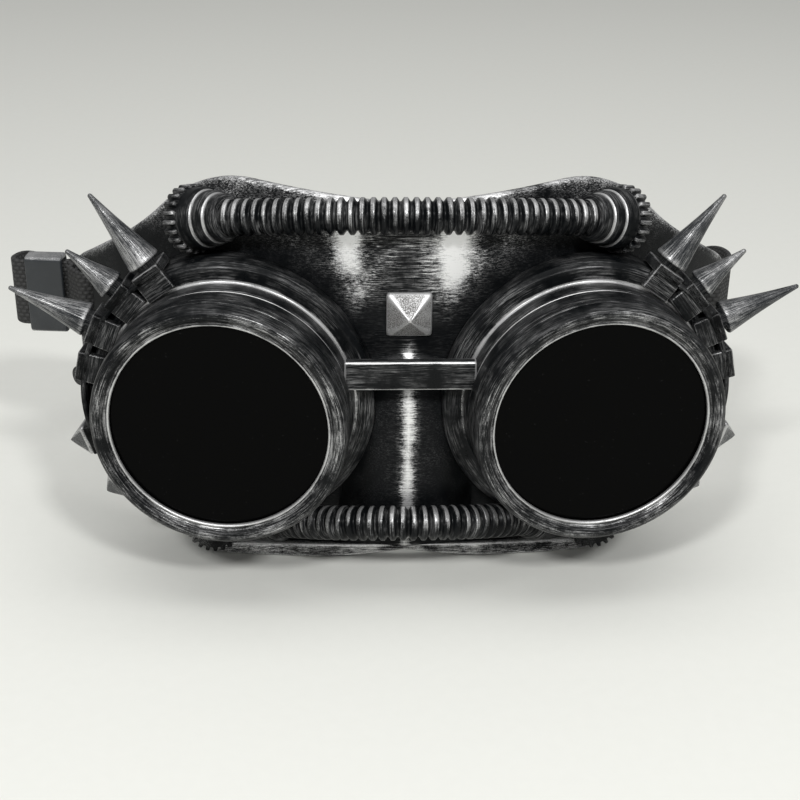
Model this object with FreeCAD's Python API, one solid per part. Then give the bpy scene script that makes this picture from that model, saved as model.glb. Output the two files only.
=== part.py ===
import FreeCAD, Part
import math
import os
from FreeCAD import Placement, Rotation, Vector

# Spiked goggle mask: a moulded half mask carries two screw-rimmed eye barrels, spikes, studs,
# ribbed hoses with toothed wheels, a bridge bar and an elastic strap. Millimetres, +Z up.
# The mask stands on its lower edge at Z 0, the lenses look towards -Y, X 0 is the middle plane.

# Eye barrels, which everything else is laid out from.
# Distances along a barrel's axis start at the inner lip of its rim.
barrel_radius = 30.0
barrel_wall = 1.3
barrel_gap = 29.0
barrel_rise = 20.0
eye_splay = 6.7
barrel_front = 5.1
flange_front = 15.4
flange_step = 4.7
flange_bevel = 1.3
flange_thickness = 5.0
cup_wall = 2.4
band_groove = 0.6
fit_gap = 0.3
eye_x = barrel_gap / 2 + barrel_radius
eye_z = barrel_rise + barrel_radius
barrel_bore = barrel_radius - barrel_wall
flange_radius = barrel_radius + flange_step
cup_radius = flange_radius - flange_bevel

# Screw rim, lens and gasket
rim_overhang = 0.15
rim_nose = 1.6
rim_lip = 0.6
rim_gap = 0.3
sleeve_length = 5.5
sleeve_wall = 1.4
lens_hold = 0.8
lens_thickness = 2.0
gasket_thickness = 2.0
rim_radius = barrel_radius + rim_overhang
sleeve_radius = barrel_bore - fit_gap
sleeve_bore = sleeve_radius - sleeve_wall
lens_view_radius = sleeve_bore - lens_hold

# Mask shell: a piece of a barrel-shaped body of revolution with a nose bump, cut to a front outline
brow_front_y = 18.0
brow_above_eyes = 12.0
top_lean = 2.5
bottom_lean = 7.0
top_above_flange = 16.3
brow_dip = 4.0
nose_arch = 2.5
shell_wall = 2.6
hump_inset = 4.5
hump_swell_x = 2.0
hump_swell_z = 3.0
shoulder_reach = 19.5
shoulder_rise = 36.0
temple_margin = 7.1
temple_wrap = 52.6
temple_rise = 20.0
temple_drop = 17.0
cheek_reach = 23.5
cheek_z = 14.0
foot_reach = 7.5
outline_corner = 7.0
nose_radius = 17.0
nose_proud = 6.0
nose_bottom_z = 14.0
nose_dome_drop = 3.0
edge_margin = 1.0
lip_height = 4.0
lip_proud = 1.0
lip_sweep = 3.0
mask_height = eye_z + flange_radius + top_above_flange
brow_height = eye_z + brow_above_eyes
hump_x = eye_x - hump_inset
shoulder_x = eye_x + shoulder_reach
shoulder_z = eye_z + shoulder_rise
temple_x = eye_x + cup_radius + temple_margin
temple_top_z = eye_z + temple_rise
temple_bottom_z = eye_z - temple_drop
cheek_x = eye_x + cheek_reach
foot_x = eye_x + foot_reach
brow_radius = temple_x / math.sin(math.radians(temple_wrap))
top_radius = brow_radius - top_lean
bottom_radius = brow_radius - bottom_lean
mask_axis_y = brow_front_y + brow_radius
nose_axis_y = brow_front_y - nose_proud + nose_radius
nose_dome_z = eye_z - nose_dome_drop
lip_front_y = mask_axis_y - bottom_radius - lip_proud
lip_side_y = lip_front_y + lip_sweep

# Spike collar on the flange
collar_length = 9.0
collar_band = 1.2
block_height = 2.6
block_gap = 0.3
upper_spike_angle = 60.0
middle_spike_angle = 45.0
lower_spike_angle = 28.5
bare_block_angle = 12.5
spike_lean = -6.5
upper_stud_angle = -19.0
lower_stud_angle = -40.5
long_spike = 21.0
short_spike = 14.5
wide_spike_radius = 4.1
narrow_spike_radius = 3.6
spike_tip_radius = 0.7
spike_neck_radius = 2.6
spike_neck = 1.2
side_stud_height = 6.2
stud_skirt = 0.8
collar_front = flange_front + flange_thickness / 2 - collar_length / 2
block_pitch = math.radians(upper_spike_angle - middle_spike_angle)
block_width = 2 * barrel_radius * math.sin(block_pitch / 2) - block_gap
side_stud_size = block_width

# Brow stud and bridge bar
center_stud_size = 10.8
center_stud_height = 5.4
center_stud_rise = 21.0
bridge_y = 8.0
bridge_rise = 9.8
bridge_height = 7.2
bridge_thickness = 2.6

# Ribbed hoses; ribs rise, run flat and fall at these shares of their pitch
hose_radius = 4.3
hose_groove = 0.75
hose_bore = 2.8
hose_pitch = 2.45
rib_rise = 0.2
rib_edge = 0.6
rib_fall = 0.8
bore_step_angle = 6.0
top_hose_drop = 5.0
top_hose_slope = 0.38
top_hose_slack = 7.5
hub_setback = 27.2
bottom_hose_z = 20.0
bottom_hose_slope = 0.52
bottom_hose_slack = 12.7
bottom_hose_half_angle = 48.0
top_hose_z = mask_height - top_hose_drop
top_hose_arc_radius = top_radius + top_hose_slack
top_hose_end_x = eye_x + flange_radius * math.cos(math.radians(upper_spike_angle)) - hub_setback
top_hose_half_angle = math.degrees(math.asin(top_hose_end_x / top_hose_arc_radius))
bottom_hose_arc_radius = nose_radius + hose_radius + bottom_hose_slack

# Hose hubs, each step with a rebate in front; the top ones turn back from the hose's end
hub_turn = 22.0
hub_seat = 1.2
top_hub_rim = 1.3
hub_step = 3.2
hub_last_step = 4.0
hub_growth = 0.9
hub_rim = 0.8
hub_rebate = 0.5
lower_hub_lip = 2.2
lower_hub_length = 12.0
lower_hub_growth = 0.6
hub_radius = hose_radius + hub_rim
top_hub_radius = hose_radius + top_hub_rim

# Toothed wheels; teeth rise, run flat and fall at these shares of their pitch
gear_radius = 8.2
gear_tooth = 1.1
gear_teeth = 22
gear_thickness = 3.6
tooth_rise = 0.18
tooth_edge = 0.5
tooth_fall = 0.68
temple_gear_inset = 4.5
temple_gear_drop = 10.0
temple_gear_radius = 6.0
temple_gear_tooth = 0.9
temple_gear_teeth = 18
temple_gear_thickness = 3.0
knob_radius = 2.6
knob_neck = 1.4
knob_length = 4.0
lower_gear_radius = 7.0
lower_gear_teeth = 20
lower_gear_inset = 3.0
lower_gear_reach = cup_radius + lower_gear_radius + fit_gap
lower_gear_x = foot_x - lower_gear_inset
lower_gear_z = eye_z - math.sqrt(lower_gear_reach ** 2 - (lower_gear_x - eye_x) ** 2)

# Elastic strap and its slider
strap_width = 18.0
strap_thickness = 1.4
strap_rise = 8.5
left_strap_straight = 13.6
right_strap_straight = 2.8
left_strap_bend = 2.4
left_strap_heading = 5.0
right_strap_bend = 8.0
strap_side_heading = 105.0
strap_back = 17.0
strap_lying_share = 0.6
left_strap_fold = 12.6
right_strap_fold = 5.5
strap_loop_end = 4.6
strap_loop_shoulder = 1.0
strap_loop_heel = 4.9
strap_bend_steps = 4
strap_back_steps = 14
temple_bar = 4.5
slot_gap = 0.6
slider_length = 10.0
slider_rest = 7.0
slider_wall = 1.2
strap_z = eye_z + strap_rise
strap_back_y = mask_axis_y + strap_back

far = 4 * brow_radius
up = Vector(0, 0, 1)


def arc(start, middle, end):
    return Part.Arc(start, middle, end).toShape()


def line(start, end):
    return Part.LineSegment(start, end).toShape()


def polygon_face(points):
    return Part.Face(Part.makePolygon(points + [points[0]]))


def turned(points):
    """Solid turned about the local Y axis from (radius, distance) corners."""
    face = polygon_face([Vector(r, t, 0) for r, t in points])
    return face.revolve(Vector(0, 0, 0), Vector(0, 1, 0), 360)


def mirrored(shape):
    return shape.mirror(Vector(0, 0, 0), Vector(1, 0, 0))


def frame_along(origin, direction, side):
    """Placement whose local Y runs along direction, with local X as near to side as it can be."""
    y_axis = Vector(direction).normalize()
    z_axis = Vector(side).cross(y_axis).normalize()
    x_axis = y_axis.cross(z_axis)
    return Placement(origin, Rotation(x_axis, y_axis, z_axis, "XYZ"))


def placed(shape, placement):
    copy = shape.copy()
    copy.Placement = placement.multiply(copy.Placement)
    return copy


# Mask
def mask_core(inset):
    """Filled body of revolution behind the mask's face, taken in by inset."""
    low = -edge_margin
    high = mask_height + edge_margin
    bottom = Vector(bottom_radius - inset, 0, low)
    brow = Vector(brow_radius - inset, 0, brow_height)
    top = Vector(top_radius - inset, 0, high)
    edges = [
        line(Vector(0, 0, low), bottom),
        arc(bottom, brow, top),
        line(top, Vector(0, 0, high)),
        line(Vector(0, 0, high), Vector(0, 0, low)),
    ]
    core = Part.Face(Part.Wire(edges)).revolve(Vector(0, 0, 0), up, 360)
    core.translate(Vector(0, mask_axis_y, 0))
    radius = nose_radius - inset
    base = nose_bottom_z + inset
    nose = Part.makeCylinder(radius, nose_dome_z - base, Vector(0, nose_axis_y, base))
    dome = Part.makeSphere(radius, Vector(0, nose_axis_y, nose_dome_z))
    return core.fuse([nose, dome]).removeSplitter()


def mask_lip():
    """Ledge along the lower edge that runs straighter than the face, as a plate."""
    right = Vector(foot_x, lip_side_y, 0)
    left = Vector(-foot_x, lip_side_y, 0)
    back = Vector(0, mask_axis_y - lip_side_y, 0)
    edges = [
        arc(left, Vector(0, lip_front_y, 0), right),
        line(right, right + back),
        line(right + back, left + back),
        line(left + back, left),
    ]
    return Part.Face(Part.Wire(edges)).extrude(up * lip_height)


def mask_outline():
    """Front outline of the mask, with round stretches, as a prism along Y."""
    half = [
        (0.0, mask_height - brow_dip),
        (hump_x, mask_height),
        (shoulder_x, shoulder_z),
        (temple_x, temple_top_z),
        (temple_x, temple_bottom_z),
        (cheek_x, cheek_z),
        (foot_x, 0.0),
        (nose_radius, 0.0),
        (0.0, nose_arch),
    ]
    right = [Vector(x, -far, z) for x, z in half]
    left = [Vector(-x, -far, z) for x, z in half]
    dip_side = Vector(hump_x / 2, -far, mask_height - brow_dip / 2)
    hump_side = Vector((hump_x + shoulder_x) / 2, -far, (mask_height + shoulder_z) / 2)
    hump_side += Vector(hump_swell_x, 0, hump_swell_z)
    edges = []
    for side, points in ((1, right), (-1, left)):
        dip = Vector(side * dip_side.x, dip_side.y, dip_side.z)
        hump = Vector(side * hump_side.x, hump_side.y, hump_side.z)
        edges.append(line(points[0], dip))
        edges.append(arc(dip, points[1], hump))
        edges.append(line(hump, points[2]))
        edges += [line(a, b) for a, b in zip(points[2:-1], points[3:])]
    wire = Part.Wire(Part.__sortEdges__(edges))
    prism = Part.Face(wire).extrude(Vector(0, far + mask_axis_y, 0))
    rounded = half[2:7]
    corners = []
    for edge in prism.Edges:
        ends = [vertex.Point for vertex in edge.Vertexes]
        along_y = abs(ends[0].x - ends[-1].x) + abs(ends[0].z - ends[-1].z) < fit_gap
        if along_y and any(math.hypot(abs(ends[0].x) - x, ends[0].z - z) < fit_gap for x, z in rounded):
            corners.append(edge)
    return prism.makeFillet(outline_corner, corners)


def mask_radius(z):
    """Outer radius of the mask's body of revolution at a height, on the arc through its three radii."""
    bottom = Vector(bottom_radius, -edge_margin, 0)
    brow = Vector(brow_radius, brow_height, 0)
    top = Vector(top_radius, mask_height + edge_margin, 0)
    circle = Part.Circle(bottom, brow, top)
    rise = z - circle.Center.y
    return circle.Center.x + math.sqrt(circle.Radius ** 2 - rise ** 2)


def barrel_frame():
    return Placement(Vector(eye_x, 0, eye_z), Rotation(up, eye_splay))


def temple_frame():
    """Local Y runs on from the mask's side at the temple edge, local X points out of the mask."""
    angle = math.radians(temple_wrap)
    inner = brow_radius - shell_wall / 2
    origin = Vector(inner * math.sin(angle), mask_axis_y - inner * math.cos(angle), strap_z)
    direction = Vector(math.cos(angle), math.sin(angle), 0)
    outward = Vector(math.sin(angle), -math.cos(angle), 0)
    return frame_along(origin, direction, outward)


def strap_tail_frame():
    """Where the doubled left strap leaves the temple loop and turns outwards."""
    temple = temple_frame()
    turn = math.radians(left_strap_heading)
    origin = temple.multVec(Vector(0, strap_loop_end, 0))
    ahead = Vector(math.cos(turn), math.sin(turn), 0)
    outward = Vector(math.sin(turn), -math.cos(turn), 0)
    return frame_along(origin, ahead, outward)


def strap_slot():
    """Slot near the temple edge that the strap goes through."""
    height = strap_width + 2 * slot_gap
    width = 2 * strap_thickness + 2 * slot_gap
    slot = Part.makeBox(2 * temple_margin, width, height)
    slot.translate(Vector(-temple_margin, -temple_bar - width, -height / 2))
    return placed(slot, temple_frame())


def barrel_cylinder(radius):
    """Long cylinder about the barrel axis, for cutting."""
    return Part.makeCylinder(radius, 2 * far, Vector(0, -far, 0), Vector(0, 1, 0))


def make_mask(core):
    shell = core.cut(mask_core(shell_wall)).common(mask_outline())
    bore = placed(barrel_cylinder(barrel_bore), barrel_frame())
    slot = strap_slot()
    return shell.cut([bore, mirrored(bore), slot, mirrored(slot)])


# Eye barrels
def make_eye_cup(core):
    flange_back = flange_front + flange_thickness
    middle = (barrel_front + flange_front) / 2
    back = mask_axis_y
    cup = turned([
        (barrel_bore, barrel_front),
        (barrel_radius - band_groove, barrel_front),
        (barrel_radius, barrel_front + band_groove),
        (barrel_radius, middle - band_groove),
        (barrel_radius - band_groove, middle),
        (barrel_radius, middle + band_groove),
        (barrel_radius, flange_front),
        (flange_radius - flange_bevel, flange_front),
        (flange_radius, flange_front + flange_bevel),
        (flange_radius, flange_back),
        (cup_radius, flange_back),
        (cup_radius, back),
        (cup_radius - cup_wall, back),
        (cup_radius - cup_wall, flange_back),
        (barrel_bore, flange_back),
    ])
    return placed(cup, barrel_frame()).cut(core)


def make_rim():
    crown = rim_nose / 2
    back = barrel_front - rim_gap
    return turned([
        (lens_view_radius, 0.0),
        (lens_view_radius + crown, -rim_nose + crown / 2),
        (lens_view_radius + 2 * crown, -rim_nose),
        (rim_radius - 2 * crown, -rim_nose),
        (rim_radius - crown / 2, -rim_nose + crown / 2),
        (rim_radius, crown),
        (rim_radius, back - band_groove),
        (rim_radius - band_groove, back),
        (sleeve_radius, back),
        (sleeve_radius, back + sleeve_length),
        (sleeve_bore, back + sleeve_length),
        (sleeve_bore, rim_lip),
        (lens_view_radius, rim_lip),
    ])


def make_lens():
    lens_radius = sleeve_bore - fit_gap
    front = rim_lip + fit_gap
    return Part.makeCylinder(lens_radius, lens_thickness, Vector(0, front, 0), Vector(0, 1, 0))


def make_gasket():
    outer = sleeve_bore - fit_gap
    front = rim_lip + fit_gap + lens_thickness
    return turned([
        (lens_view_radius - fit_gap, front),
        (outer, front),
        (outer, front + gasket_thickness),
        (lens_view_radius - fit_gap, front + gasket_thickness),
    ])


# Collar, spikes and studs
spikes = {
    "upper": (upper_spike_angle, long_spike, wide_spike_radius),
    "middle": (middle_spike_angle, short_spike, narrow_spike_radius),
    "lower": (lower_spike_angle, long_spike, wide_spike_radius),
}
stud_angles = {"upper": upper_stud_angle, "lower": lower_stud_angle}


def around(angle):
    """Unit vector at an angle round the barrel axis, from straight outwards."""
    turn = math.radians(angle)
    return Vector(math.cos(turn), 0, math.sin(turn))


def collar_frame(angle, lean):
    """Local Y points out of the collar block at this angle round the barrel axis, leaned a little."""
    origin = around(angle) * (flange_radius + block_height) + Vector(0, collar_front + collar_length / 2, 0)
    return frame_along(origin, around(angle + lean), Vector(0, 1, 0))


def make_collar(core):
    """Band of flat blocks round the outer half of the flange, one block under each spike and stud."""
    blocks = [(angle, spike_lean) for angle, length, radius in spikes.values()]
    blocks += [(angle, 0.0) for angle in (bare_block_angle, upper_stud_angle, lower_stud_angle)]
    angles = [angle for angle, lean in blocks]
    half_block = math.degrees(math.asin(block_width / 2 / flange_radius))
    first = min(angles) - half_block
    sweep = max(angles) + half_block - first
    outer = flange_radius + collar_band
    back = collar_front + collar_length
    section = polygon_face([
        Vector(flange_radius, collar_front, 0),
        Vector(outer, collar_front, 0),
        Vector(outer, back, 0),
        Vector(flange_radius, back, 0),
    ])
    section.rotate(Vector(0, 0, 0), Vector(0, 1, 0), -first)
    collar = section.revolve(Vector(0, 0, 0), Vector(0, 1, 0), -sweep)
    depth = block_height + flange_step
    for angle, lean in blocks:
        block = Part.makeBox(collar_length, depth, block_width)
        block.translate(Vector(-collar_length / 2, -depth, -block_width / 2))
        collar = collar.fuse(placed(block, collar_frame(angle, lean)))
    flange = Part.makeCylinder(flange_radius, far, Vector(0, flange_front, 0), Vector(0, 1, 0))
    collar = collar.removeSplitter().cut([barrel_cylinder(barrel_radius), flange])
    return placed(collar, barrel_frame()).cut(core)


def make_spike(name):
    angle, length, radius = spikes[name]
    tip = spike_tip_radius
    spike = turned([
        (0.0, 0.0),
        (spike_neck_radius, 0.0),
        (spike_neck_radius, spike_neck),
        (radius, spike_neck),
        (radius, spike_neck + tip),
        (tip, length - tip / 2),
        (tip / 2, length),
        (0.0, length),
    ])
    return placed(spike, barrel_frame().multiply(collar_frame(angle, spike_lean)))


def pyramid(size, height):
    """Square pyramid on a short skirt, its base in the local XZ plane and its apex along +Y."""
    half = size / 2
    corners = [Vector(half * x, 0, half * z) for x, z in ((-1, -1), (1, -1), (1, 1), (-1, 1))]
    skirt = polygon_face(corners).extrude(Vector(0, stud_skirt, 0))
    base = [corner + Vector(0, stud_skirt, 0) for corner in corners]
    apex = Vector(0, height, 0)
    faces = [polygon_face(base)]
    faces += [polygon_face([base[i], base[(i + 1) % 4], apex]) for i in range(4)]
    point = Part.makeSolid(Part.makeShell(faces))
    return skirt.fuse(point).removeSplitter()


def make_side_stud(name):
    stud = pyramid(side_stud_size, side_stud_height)
    return placed(stud, barrel_frame().multiply(collar_frame(stud_angles[name], 0.0)))


def make_center_stud(core):
    stud = pyramid(center_stud_size, center_stud_height + stud_skirt)
    base = Vector(0, brow_front_y + stud_skirt, eye_z + center_stud_rise)
    frame = frame_along(base, Vector(0, -1, 0), Vector(1, 0, 0))
    return placed(stud, frame).cut(core)


def make_bridge():
    half = eye_x - barrel_radius / 2
    bar = Part.makeBox(2 * half, bridge_thickness, bridge_height)
    low = eye_z + bridge_rise - bridge_height / 2
    bar.translate(Vector(-half, bridge_y - bridge_thickness / 2, low))
    barrel = placed(barrel_cylinder(barrel_radius), barrel_frame())
    return bar.cut([barrel, mirrored(barrel)])


# Hoses
def hose_plane(front_y, front_z, slope):
    """Local X across the mask, local Y back and down along the hose's leaning plane."""
    back = Vector(0, 1, -slope).normalize()
    return frame_along(Vector(0, front_y, front_z), back, Vector(1, 0, 0))


def hose_length(arc_radius, half_angle):
    """Half length of a hose: half its arc and one straight tube diameter."""
    return arc_radius * math.radians(half_angle) + 2 * hose_radius


def hose_station(arc_radius, half_angle, distance):
    """Point and direction at a distance along the hose from its middle, in the hose's plane."""
    reach = arc_radius * math.radians(half_angle)
    side = math.copysign(1.0, distance)
    along = min(abs(distance), reach)
    turn = along / arc_radius
    point = Vector(side * arc_radius * math.sin(turn), arc_radius * (1 - math.cos(turn)), 0)
    direction = Vector(math.cos(turn), side * math.sin(turn), 0)
    return point + direction * (side * (abs(distance) - along)), direction


def hose_circle(arc_radius, half_angle, distance, radius):
    point, direction = hose_station(arc_radius, half_angle, distance)
    circle = Part.Circle(Vector(0, 0, 0), up, radius).toShape()
    x_axis = up
    y_axis = direction.cross(x_axis)
    circle.Placement = Placement(point, Rotation(x_axis, y_axis, direction, "XYZ"))
    return Part.Wire([circle])


def make_hose(arc_radius, half_angle, plane):
    """Corrugated tube: each rib is a ruled loft through four circles, and the bore runs right through."""
    half = hose_length(arc_radius, half_angle)
    ribs = round(2 * half / hose_pitch)
    pitch = 2 * half / ribs
    low = hose_radius - hose_groove
    stops = ((0.0, low), (rib_rise, hose_radius), (rib_edge, hose_radius), (rib_fall, low))
    sections = []
    for rib in range(ribs):
        for share, radius in stops:
            distance = -half + (rib + share) * pitch
            sections.append(hose_circle(arc_radius, half_angle, distance, radius))
    sections.append(hose_circle(arc_radius, half_angle, half, low))
    outside = Part.makeLoft(sections, True, True)
    steps = 2 * round(half_angle / bore_step_angle) + 2
    arc_half = half - 2 * hose_radius
    places = [-half] + [arc_half * (2 * i / steps - 1) for i in range(steps + 1)] + [half]
    bore = Part.makeLoft([hose_circle(arc_radius, half_angle, s, hose_bore) for s in places], True, True)
    return placed(outside.cut(bore), plane)


def hose_end(arc_radius, half_angle, plane):
    """Placement of the right-hand hose end, local Y running on along the hose."""
    point, direction = hose_station(arc_radius, half_angle, hose_length(arc_radius, half_angle))
    local = frame_along(point, direction, up)
    return plane.multiply(local)


top_hub_steps = (
    (top_hub_radius, hub_step),
    (top_hub_radius + hub_growth, hub_step),
    (top_hub_radius + 2 * hub_growth, hub_last_step),
)
lower_hub_steps = (
    (hub_radius, lower_hub_lip),
    (hub_radius + lower_hub_growth, lower_hub_length),
)


def make_hub(steps, end, core):
    """Stepped socket that grows away from the hose end, with a rebate in front of each step."""
    points = [(0.0, 0.0)]
    place = 0.0
    for radius, length in steps:
        points.append((radius - hub_rebate, place))
        points.append((radius, place + hub_rebate))
        place += length
        points.append((radius, place))
    points.append((0.0, place))
    return placed(turned(points), end).cut(core)


def turned_back(end):
    """Frame of a top hub, seated over the hose's end and turned back towards the mask."""
    return end.multiply(Placement(Vector(0, -hub_seat, 0), Rotation(Vector(1, 0, 0), hub_turn)))


def make_top_hub(end, core):
    """Stepped socket turned back from the hose, with a round hole that the hose's end fits in."""
    hose = Part.makeCylinder(hose_radius + fit_gap, far, Vector(0, -far, 0), Vector(0, 1, 0))
    return make_hub(top_hub_steps, turned_back(end), core).cut(placed(hose, end))


def make_gear(radius, tooth_height, teeth, thickness):
    """Toothed wheel, its face in the local XZ plane and its thickness along +Y."""
    pitch = 2 * math.pi / teeth
    root = radius - tooth_height
    outline = []
    for tooth in range(teeth):
        for share, r in ((0.0, root), (tooth_rise, radius), (tooth_edge, radius), (tooth_fall, root)):
            turn = (tooth + share) * pitch
            outline.append(Vector(r * math.cos(turn), 0, r * math.sin(turn)))
    return polygon_face(outline).extrude(Vector(0, thickness, 0))


def make_top_gear(end, core):
    depth = sum(length for radius, length in top_hub_steps)
    gear = make_gear(gear_radius, gear_tooth, gear_teeth, gear_thickness)
    return placed(gear, turned_back(end).multiply(Placement(Vector(0, depth, 0), Rotation()))).cut(core)


def face_frame(x, z, radius):
    """Placement on the mask's face at x and z, local Y pointing straight out of it."""
    angle = math.asin(x / radius)
    origin = Vector(x, mask_axis_y - radius * math.cos(angle), z)
    return frame_along(origin, Vector(math.sin(angle), -math.cos(angle), 0), up)


def make_lower_gear(core):
    """Toothed wheel in front of the lip's end, on a boss that goes back to the mask's face."""
    frame = frame_along(Vector(lower_gear_x, lip_side_y, lower_gear_z), Vector(0, -1, 0), up)
    gear = make_gear(lower_gear_radius, gear_tooth, lower_gear_teeth, gear_thickness)
    length = mask_axis_y + gear_thickness + stud_skirt
    boss = Part.makeCylinder(lower_gear_radius / 2, length, Vector(0, -mask_axis_y, 0), Vector(0, 1, 0))
    wheel = placed(gear.fuse(boss).removeSplitter(), frame).cut(core)
    return min(wheel.Solids, key=lambda solid: solid.BoundBox.YMin)


def temple_gear_frame():
    return face_frame(temple_x - temple_gear_inset, eye_z - temple_gear_drop, brow_radius - stud_skirt)


def make_temple_gear(core):
    gear = make_gear(temple_gear_radius, temple_gear_tooth, temple_gear_teeth, temple_gear_thickness)
    return placed(gear, temple_gear_frame()).cut(core)


def make_temple_knob():
    knob = turned([
        (0.0, temple_gear_thickness),
        (knob_radius - hub_rebate, temple_gear_thickness),
        (knob_radius - hub_rebate, temple_gear_thickness + knob_neck),
        (knob_radius, temple_gear_thickness + knob_neck),
        (knob_radius, temple_gear_thickness + knob_length - hub_rebate),
        (knob_radius - hub_rebate, temple_gear_thickness + knob_length),
        (0.0, temple_gear_thickness + knob_length),
    ])
    return placed(knob, temple_gear_frame())


# Strap and slider
def strap_route(start, straight, bend):
    """Points, headings and letting-down shares of one side of the strap, from its start frame to the back.

    The webbing runs straight on from its start, turns back in a small bend and then
    goes round the head in one large arc that ends square to the middle plane.
    """
    ahead = start.Rotation.multVec(Vector(0, 1, 0))
    first = math.atan2(ahead.y, ahead.x)
    side = math.radians(strap_side_heading)
    bend_start = start.Base + ahead * straight
    bend_shift = Vector(math.sin(side) - math.sin(first), math.cos(first) - math.cos(side), 0)
    arc_start = bend_start + bend_shift * bend
    arc_radius = (strap_back_y - arc_start.y) / (1 + math.cos(side))
    stations = [(start.Base, first, 0.0)]
    for step in range(strap_bend_steps + 1):
        turn = first + (side - first) * step / strap_bend_steps
        shift = Vector(math.sin(turn) - math.sin(first), math.cos(first) - math.cos(turn), 0)
        stations.append((bend_start + shift * bend, turn, 0.0))
    for step in range(1, strap_back_steps + 1):
        share = step / strap_back_steps
        turn = side + (math.pi - side) * share
        shift = Vector(math.sin(turn) - math.sin(side), math.cos(side) - math.cos(turn), 0)
        ease = min(share / strap_lying_share, 1.0)
        stations.append((arc_start + shift * arc_radius, turn, ease * ease * (3 - 2 * ease)))
    return stations


def strap_section(point, heading, share, side):
    """Upright rectangle of webbing, let down by a share of the way to the table."""
    outward = Vector(side * math.sin(heading), -math.cos(heading), 0) * (strap_thickness / 2)
    rise = up * (strap_width / 2)
    middle = Vector(side * point.x, point.y, point.z) - up * ((strap_z - strap_width / 2) * share)
    front = [middle + outward - rise, middle + outward + rise]
    back = [middle - outward + rise, middle - outward - rise]
    return Part.makePolygon(front + back + front[:1])


def centred_box(frame, x_half, y_low, y_high, z_half):
    box = Part.makeBox(2 * x_half, y_high - y_low, 2 * z_half)
    box.translate(Vector(-x_half, y_low, -z_half))
    return placed(box, frame)


def temple_prism(corners, height):
    """Upright prism on (outward, along) corners of the temple frame, centred on the strap."""
    face = polygon_face([Vector(x, y, -height / 2) for x, y in corners])
    return placed(face.extrude(up * height), temple_frame())


def temple_fold(frame, low, high):
    """Webbing folded round the bar of the temple slot, sewn double along a frame from low to high."""
    loop_half = shell_wall / 2 + slot_gap
    loop_low = -temple_bar - slot_gap
    outer_half = loop_half + strap_thickness
    outer_low = loop_low - strap_thickness
    loop = temple_prism([
        (-outer_half, outer_low),
        (outer_half, outer_low),
        (outer_half, strap_loop_shoulder),
        (strap_thickness, strap_loop_end),
        (-outer_half, strap_loop_heel + strap_thickness),
    ], strap_width)
    hollow = temple_prism([
        (-loop_half, loop_low),
        (loop_half, loop_low),
        (loop_half, strap_loop_shoulder),
        (0.0, strap_loop_end - strap_thickness),
        (-loop_half, strap_loop_heel),
    ], 2 * strap_width)
    double = centred_box(frame, strap_thickness, low, high, strap_width / 2)
    return loop.cut(hollow).fuse(double)


def make_strap():
    temple = temple_frame()
    tail = strap_tail_frame()
    start = temple.multiply(Placement(Vector(0, strap_loop_end - strap_thickness, 0), Rotation()))
    right_route = strap_route(start, right_strap_straight, right_strap_bend)
    left_route = strap_route(tail, left_strap_straight, left_strap_bend)
    right = [strap_section(*station, 1) for station in right_route]
    left = [strap_section(*station, -1) for station in left_route]
    band = Part.makeLoft(right + left[::-1], True, True)
    right_fold = temple_fold(temple, strap_loop_end - strap_thickness, right_strap_fold)
    left_fold = temple_fold(tail, -strap_thickness, left_strap_fold)
    return band.fuse([right_fold, mirrored(left_fold)]).removeSplitter()


def make_slider():
    """Smooth flat keeper that the doubled strap runs through."""
    x_half = strap_thickness + fit_gap
    z_half = strap_width / 2 + fit_gap
    low = slider_rest - slider_length / 2
    high = slider_rest + slider_length / 2
    frame = strap_tail_frame()
    outside = centred_box(frame, x_half + slider_wall, low, high, z_half + slider_wall)
    edges = [edge for edge in outside.Edges if abs(edge.Length - slider_length) < fit_gap]
    outside = outside.makeFillet(slider_wall / 2, edges)
    return outside.cut(centred_box(frame, x_half, low - slider_length, high + slider_length, z_half))


def make_parts():
    core = mask_core(0.0).fuse(mask_lip())
    eye = barrel_frame()
    top_y = mask_axis_y - mask_radius(top_hose_z) - hose_radius - fit_gap
    top_plane = hose_plane(top_y, top_hose_z, top_hose_slope)
    nose_y = nose_axis_y - nose_radius - hose_radius - fit_gap
    bottom_plane = hose_plane(nose_y, bottom_hose_z, bottom_hose_slope)
    top_end = hose_end(top_hose_arc_radius, top_hose_half_angle, top_plane)
    bottom_end = hose_end(bottom_hose_arc_radius, bottom_hose_half_angle, bottom_plane)
    pairs = {
        "eye_cup": make_eye_cup(core),
        "lens_rim": placed(make_rim(), eye),
        "lens": placed(make_lens(), eye),
        "lens_gasket": placed(make_gasket(), eye),
        "spike_collar": make_collar(core),
        "top_hose_hub": make_top_hub(top_end, core),
        "top_gear": make_top_gear(top_end, core),
        "bottom_hose_hub": make_hub(lower_hub_steps, bottom_end, core),
        "bottom_gear": make_lower_gear(core),
    }
    for name in spikes:
        pairs[name + "_spike"] = make_spike(name)
    for name in stud_angles:
        pairs[name + "_side_stud"] = make_side_stud(name)
    parts = {
        "mask_shell": make_mask(core),
        "center_stud": make_center_stud(core),
        "bridge_bar": make_bridge(),
        "top_hose": make_hose(top_hose_arc_radius, top_hose_half_angle, top_plane),
        "bottom_hose": make_hose(bottom_hose_arc_radius, bottom_hose_half_angle, bottom_plane),
        "left_temple_gear": mirrored(make_temple_gear(core)),
        "left_temple_knob": mirrored(make_temple_knob()),
        "strap": make_strap(),
        "strap_slider": mirrored(make_slider()),
    }
    for name, shape in pairs.items():
        parts["right_" + name] = shape
        parts["left_" + name] = mirrored(shape)
    return parts


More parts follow.
